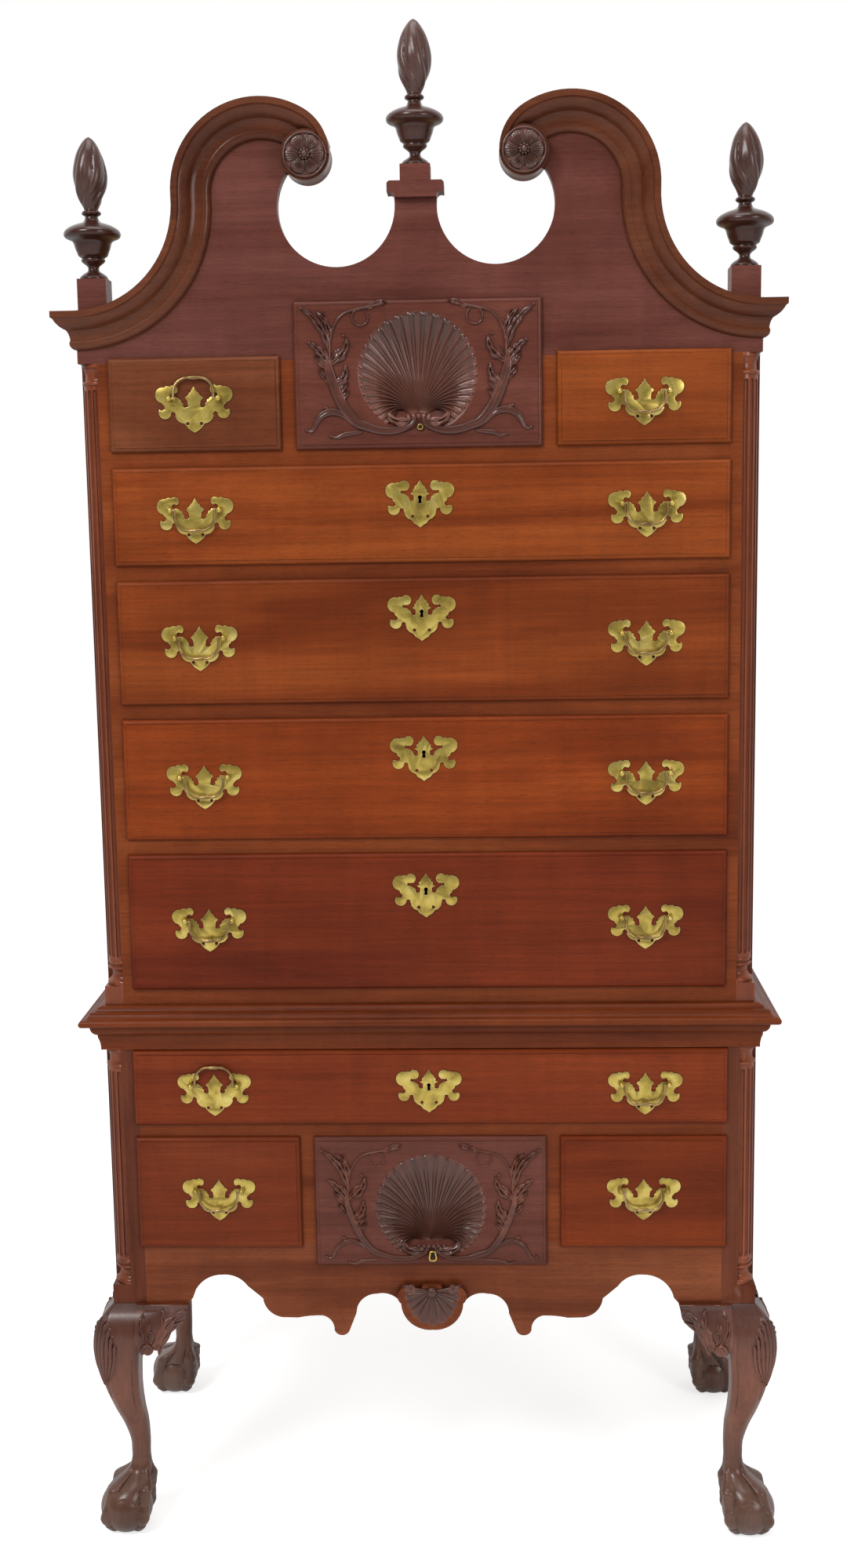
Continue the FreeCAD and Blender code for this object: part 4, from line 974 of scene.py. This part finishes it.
def bracket_leaves():
    """Carving on the bracket: a curl beside the knee and leaves that spread from it to the apron."""
    top = KNEE_TOP / MM
    curl_x, curl_z = BRACKET_CURL[0], top + BRACKET_CURL[1]
    made = [carved_stem(curl(curl_x, curl_z, 8.5, -0.6, 1.25), BRACKET_CURL_WIDTHS, 4.0, bracket_ground),
            bead(curl_x, bracket_ground(curl_x, curl_z), curl_z, 5.5, 0.7)]
    for base, tip, width, rise, bend, lobes in BRACKET_LEAVES:
        made.append(carved_leaf((base[0], top + base[1]), (tip[0], top + tip[1]), width, rise, bend, lobes,
                                bracket_ground))
    for x, under, radius in BRACKET_BEADS:
        z = top + under
        made.append(bead(x, bracket_ground(x, z) + 1.5, z, radius))
    return made


def corner_places(front, sides=(-1, 1), along_side=False):
    """Places for a part drawn from the post's outer corner: on the front or back, or on the side."""
    y, way = (STAND_FRONT, -1) if front else (CASE_BACK, 1)
    places = []
    for side in sides:
        across, outward = (side, 0, 0), (0, way, 0)
        if along_side:
            across, outward = outward, across
        places.append(((side * STAND_HALF, y, 0), across, outward))
    return places


def posts_and_brackets():
    """The posts over the knees, cut off at the knee's top, and the brackets, from the frame's own legs."""
    pick([welded_copy("legs", "posts", 0.00001)])
    bpy.ops.mesh.separate(type="LOOSE")
    for part in list(bpy.context.selected_objects):
        highest = max(vertex.co.z for vertex in part.data.vertices)
        if highest > KNEE_TOP + 0.01:
            open_whole(part)
            bpy.ops.mesh.bisect(plane_co=(0, 0, KNEE_TOP), plane_no=(0, 0, 1), use_fill=True,
                                clear_inner=True)
            bpy.ops.object.mode_set(mode="OBJECT")
    return [each for each in bpy.data.objects if each.name.startswith("posts")]


finish(one_piece(posts_and_brackets()), "posts_and_brackets", post_wood, "case", ["legs"],
       angle=30)
for name, side in (("front_leg_left", -1), ("front_leg_right", 1)):
    carve([leg_skin(220, 240, True)], corner_places(True, [side]), name, leg_wood)
carve([leg_skin(120, 150, False)], corner_places(False), "rear_legs", leg_wood)
carve([bracket_swell()] + bracket_leaves(), corner_places(True) + corner_places(True, along_side=True),
      "knee_leaves", leg_wood)
carve([bracket_swell()], corner_places(False, along_side=True), "rear_knee_swells", leg_wood)


# -------------------- shell on the apron
APRON_RIBS = 11
APRON_SHELL_HALF = 45.0
APRON_SHELL_HIGH = 64.0
APRON_SHELL_TOP = 398.0


def apron_fan():
    """Raised shell whose ribs spread down from a bud."""
    def place(u, v):
        lobe = wave(APRON_RIBS * u) ** 0.7
        angle = (2 * u - 1) * math.radians(102)
        edge = 1 / np.hypot(np.sin(angle) / APRON_SHELL_HALF, np.cos(angle) / (APRON_SHELL_HIGH - 3))
        reach = edge * v * (0.95 + 0.05 * lobe)
        high = 0.8 + (0.6 + 2.2 * v) * lobe + 2.0 * (1 - v)
        return reach * np.sin(angle), high * (1 - v ** 10) - 5 * v ** 14, -reach * np.cos(angle)
    made = [relief(APRON_RIBS * 10, 30, place), bead(0, 3.5, -1, 8.0, 0.8, 12)]
    for side in (-1, 1):
        spiral = [(side * x, z) for x, z in curl(31, 3, 6.5, -2.6, 1.1)]
        made.append(carved_stem(spiral, [2.6] * (len(spiral) - 1) + [1.4], 3.6))
    return made


carve(apron_fan(), [facing((0, apron_low.y, APRON_SHELL_TOP * MM))], "apron_shell_carving", leg_wood)


# -------------------- brasses
BRASS_WEAR = 0.00045    # width of the softened edges


def brass_copy(node):
    """Copy of a brass node with softened edges."""
    piece = welded_copy(node, node + "_worn", 0.000004)
    open_whole(piece)
    bpy.ops.mesh.dissolve_limited(angle_limit=math.radians(1.0))
    bpy.ops.object.mode_set(mode="OBJECT")
    soft = piece.modifiers.new("worn_edges", "BEVEL")
    soft.width = BRASS_WEAR
    soft.segments = 2
    soft.limit_method = "ANGLE"
    soft.angle_limit = math.radians(40)
    bpy.ops.object.modifier_apply(modifier=soft.name)
    return piece


body_of = {node: body for body, members in frame["record"]["behaviour"]["bodies"].items() for node in members}
for name in [n for n in nodes if n.endswith("_brass") or "_bail" in n]:
    metal = bail_brass if "_bail" in name else brass
    finish(brass_copy(name), name + "_worn", metal, body_of[name], [name], angle=35)


# -------------------- floor, light and camera
FLOOR_GLOW = 0.66       # keeps the lit floor white, with the object's shadow on it
FLOOR_SHINE = 0.12      # what the polish mirrors of it
ROOM_LIGHT = 0.42       # light from all round
ROOM_SHINE = 0.10       # what polish mirrors in front of the object; behind it is white


def larger(tree, a, b):
    return add(tree, "ShaderNodeMath", {0: a, 1: b}, operation="MAXIMUM").outputs[0]


def stage_floor():
    clear_selection()
    bpy.ops.mesh.primitive_plane_add(size=60, location=(0, 0, 0))
    floor = bpy.context.object
    floor.name = "studio_floor"
    material, tree, shader = new_material("studio_floor_white")
    shader.inputs["Base Color"].default_value = (0.82, 0.82, 0.82, 1)
    shader.inputs["Roughness"].default_value = 0.9
    shader.inputs["Specular IOR Level"].default_value = 0.0
    rays = add(tree, "ShaderNodeLightPath")
    glow, mirror = [
        add(tree, "ShaderNodeMath", {0: rays.outputs[ray], 1: strength}, operation="MULTIPLY").outputs[0]
        for ray, strength in (("Is Camera Ray", FLOOR_GLOW), ("Is Glossy Ray", FLOOR_SHINE))]
    shine = add(tree, "ShaderNodeEmission", {"Strength": larger(tree, glow, mirror)})
    both = add(tree, "ShaderNodeAddShader")
    tree.links.new(shader.outputs[0], both.inputs[0])
    tree.links.new(shine.outputs[0], both.inputs[1])
    tree.links.new(both.outputs[0], tree.nodes["Material Output"].inputs["Surface"])
    floor.data.materials.append(material)


def area_light(name, place, target, size, power):
    light = bpy.data.lights.new(name, "AREA")
    light.shape = "RECTANGLE"
    light.size, light.size_y = size
    light.energy = power
    lamp = bpy.data.objects.new(name, light)
    link(lamp)
    lamp.location = place
    lamp.rotation_euler = (Vector(target) - Vector(place)).to_track_quat("-Z", "Y").to_euler()


def light_room():
    """White room that lights the object evenly, with a darker front for its polish to mirror."""
    world = bpy.data.worlds.new("studio")
    bpy.context.scene.world = world
    world.use_nodes = True
    tree = world.node_tree
    rays = add(tree, "ShaderNodeLightPath")
    way = add(tree, "ShaderNodeTexCoord")
    parts_of_way = add(tree, "ShaderNodeSeparateXYZ", {0: way.outputs["Generated"]})
    mirrored = add(tree, "ShaderNodeMapRange", {"Value": parts_of_way.outputs["Y"], "From Min": -0.25,
                                                "From Max": 0.25, "To Min": ROOM_SHINE, "To Max": 1.0})
    for_shine = larger(tree, rays.outputs["Is Glossy Ray"], rays.outputs["Is Transmission Ray"])
    strength = add(tree, "ShaderNodeMix", {0: for_shine, 2: ROOM_LIGHT, 3: mirrored.outputs[0]},
                   data_type="FLOAT")
    strength = add(tree, "ShaderNodeMix", {0: rays.outputs["Is Camera Ray"], 2: strength.outputs[0], 3: 1.0},
                   data_type="FLOAT")
    background = tree.nodes["Background"]
    background.inputs["Color"].default_value = (1, 1, 1, 1)
    tree.links.new(strength.outputs[0], background.inputs["Strength"])


stage_floor()
area_light("key_light", (-2.2, -3.6, 4.4), (0, 0, 1.2), (1.5, 1.5), 120)
area_light("fill_light", (3.0, -3.8, 2.6), (0, 0, 1.1), (1.4, 2.0), 55)
area_light("top_light", (0.0, -0.8, 4.6), (0, 0, 1.5), (2.0, 1.6), 35)
light_room()
scene = bpy.context.scene
scene.view_settings.view_transform = "Standard"

# The camera's place in metres and its angles in radians, worked out from the object's edges.
CAMERA_PLACE = (0.0955311, -2.8463757, 1.5823838)
YAW, PITCH, ROLL = -0.0370, -0.1561, -0.0156
FRAME_HIGH = 1999       # pixels
FOCUS = 2329.1572       # focal length, in the same pixels
SENSOR_HIGH = 24
ahead = Vector((math.sin(YAW) * math.cos(PITCH), math.cos(YAW) * math.cos(PITCH), math.sin(PITCH)))
right = Vector((math.cos(YAW), -math.sin(YAW), 0))
up = right.cross(ahead)
right_rolled = math.cos(ROLL) * right + math.sin(ROLL) * up
up_rolled = -math.sin(ROLL) * right + math.cos(ROLL) * up
camera_data = bpy.data.cameras.new("camera")
camera_data.sensor_fit = "VERTICAL"
camera_data.sensor_height = SENSOR_HIGH
camera_data.lens = SENSOR_HIGH * FOCUS / FRAME_HIGH
camera = bpy.data.objects.new("camera", camera_data)
link(camera)
turn = Matrix((right_rolled, up_rolled, -ahead)).transposed().to_4x4()
camera.matrix_world = Matrix.Translation(CAMERA_PLACE) @ turn
scene.camera = camera
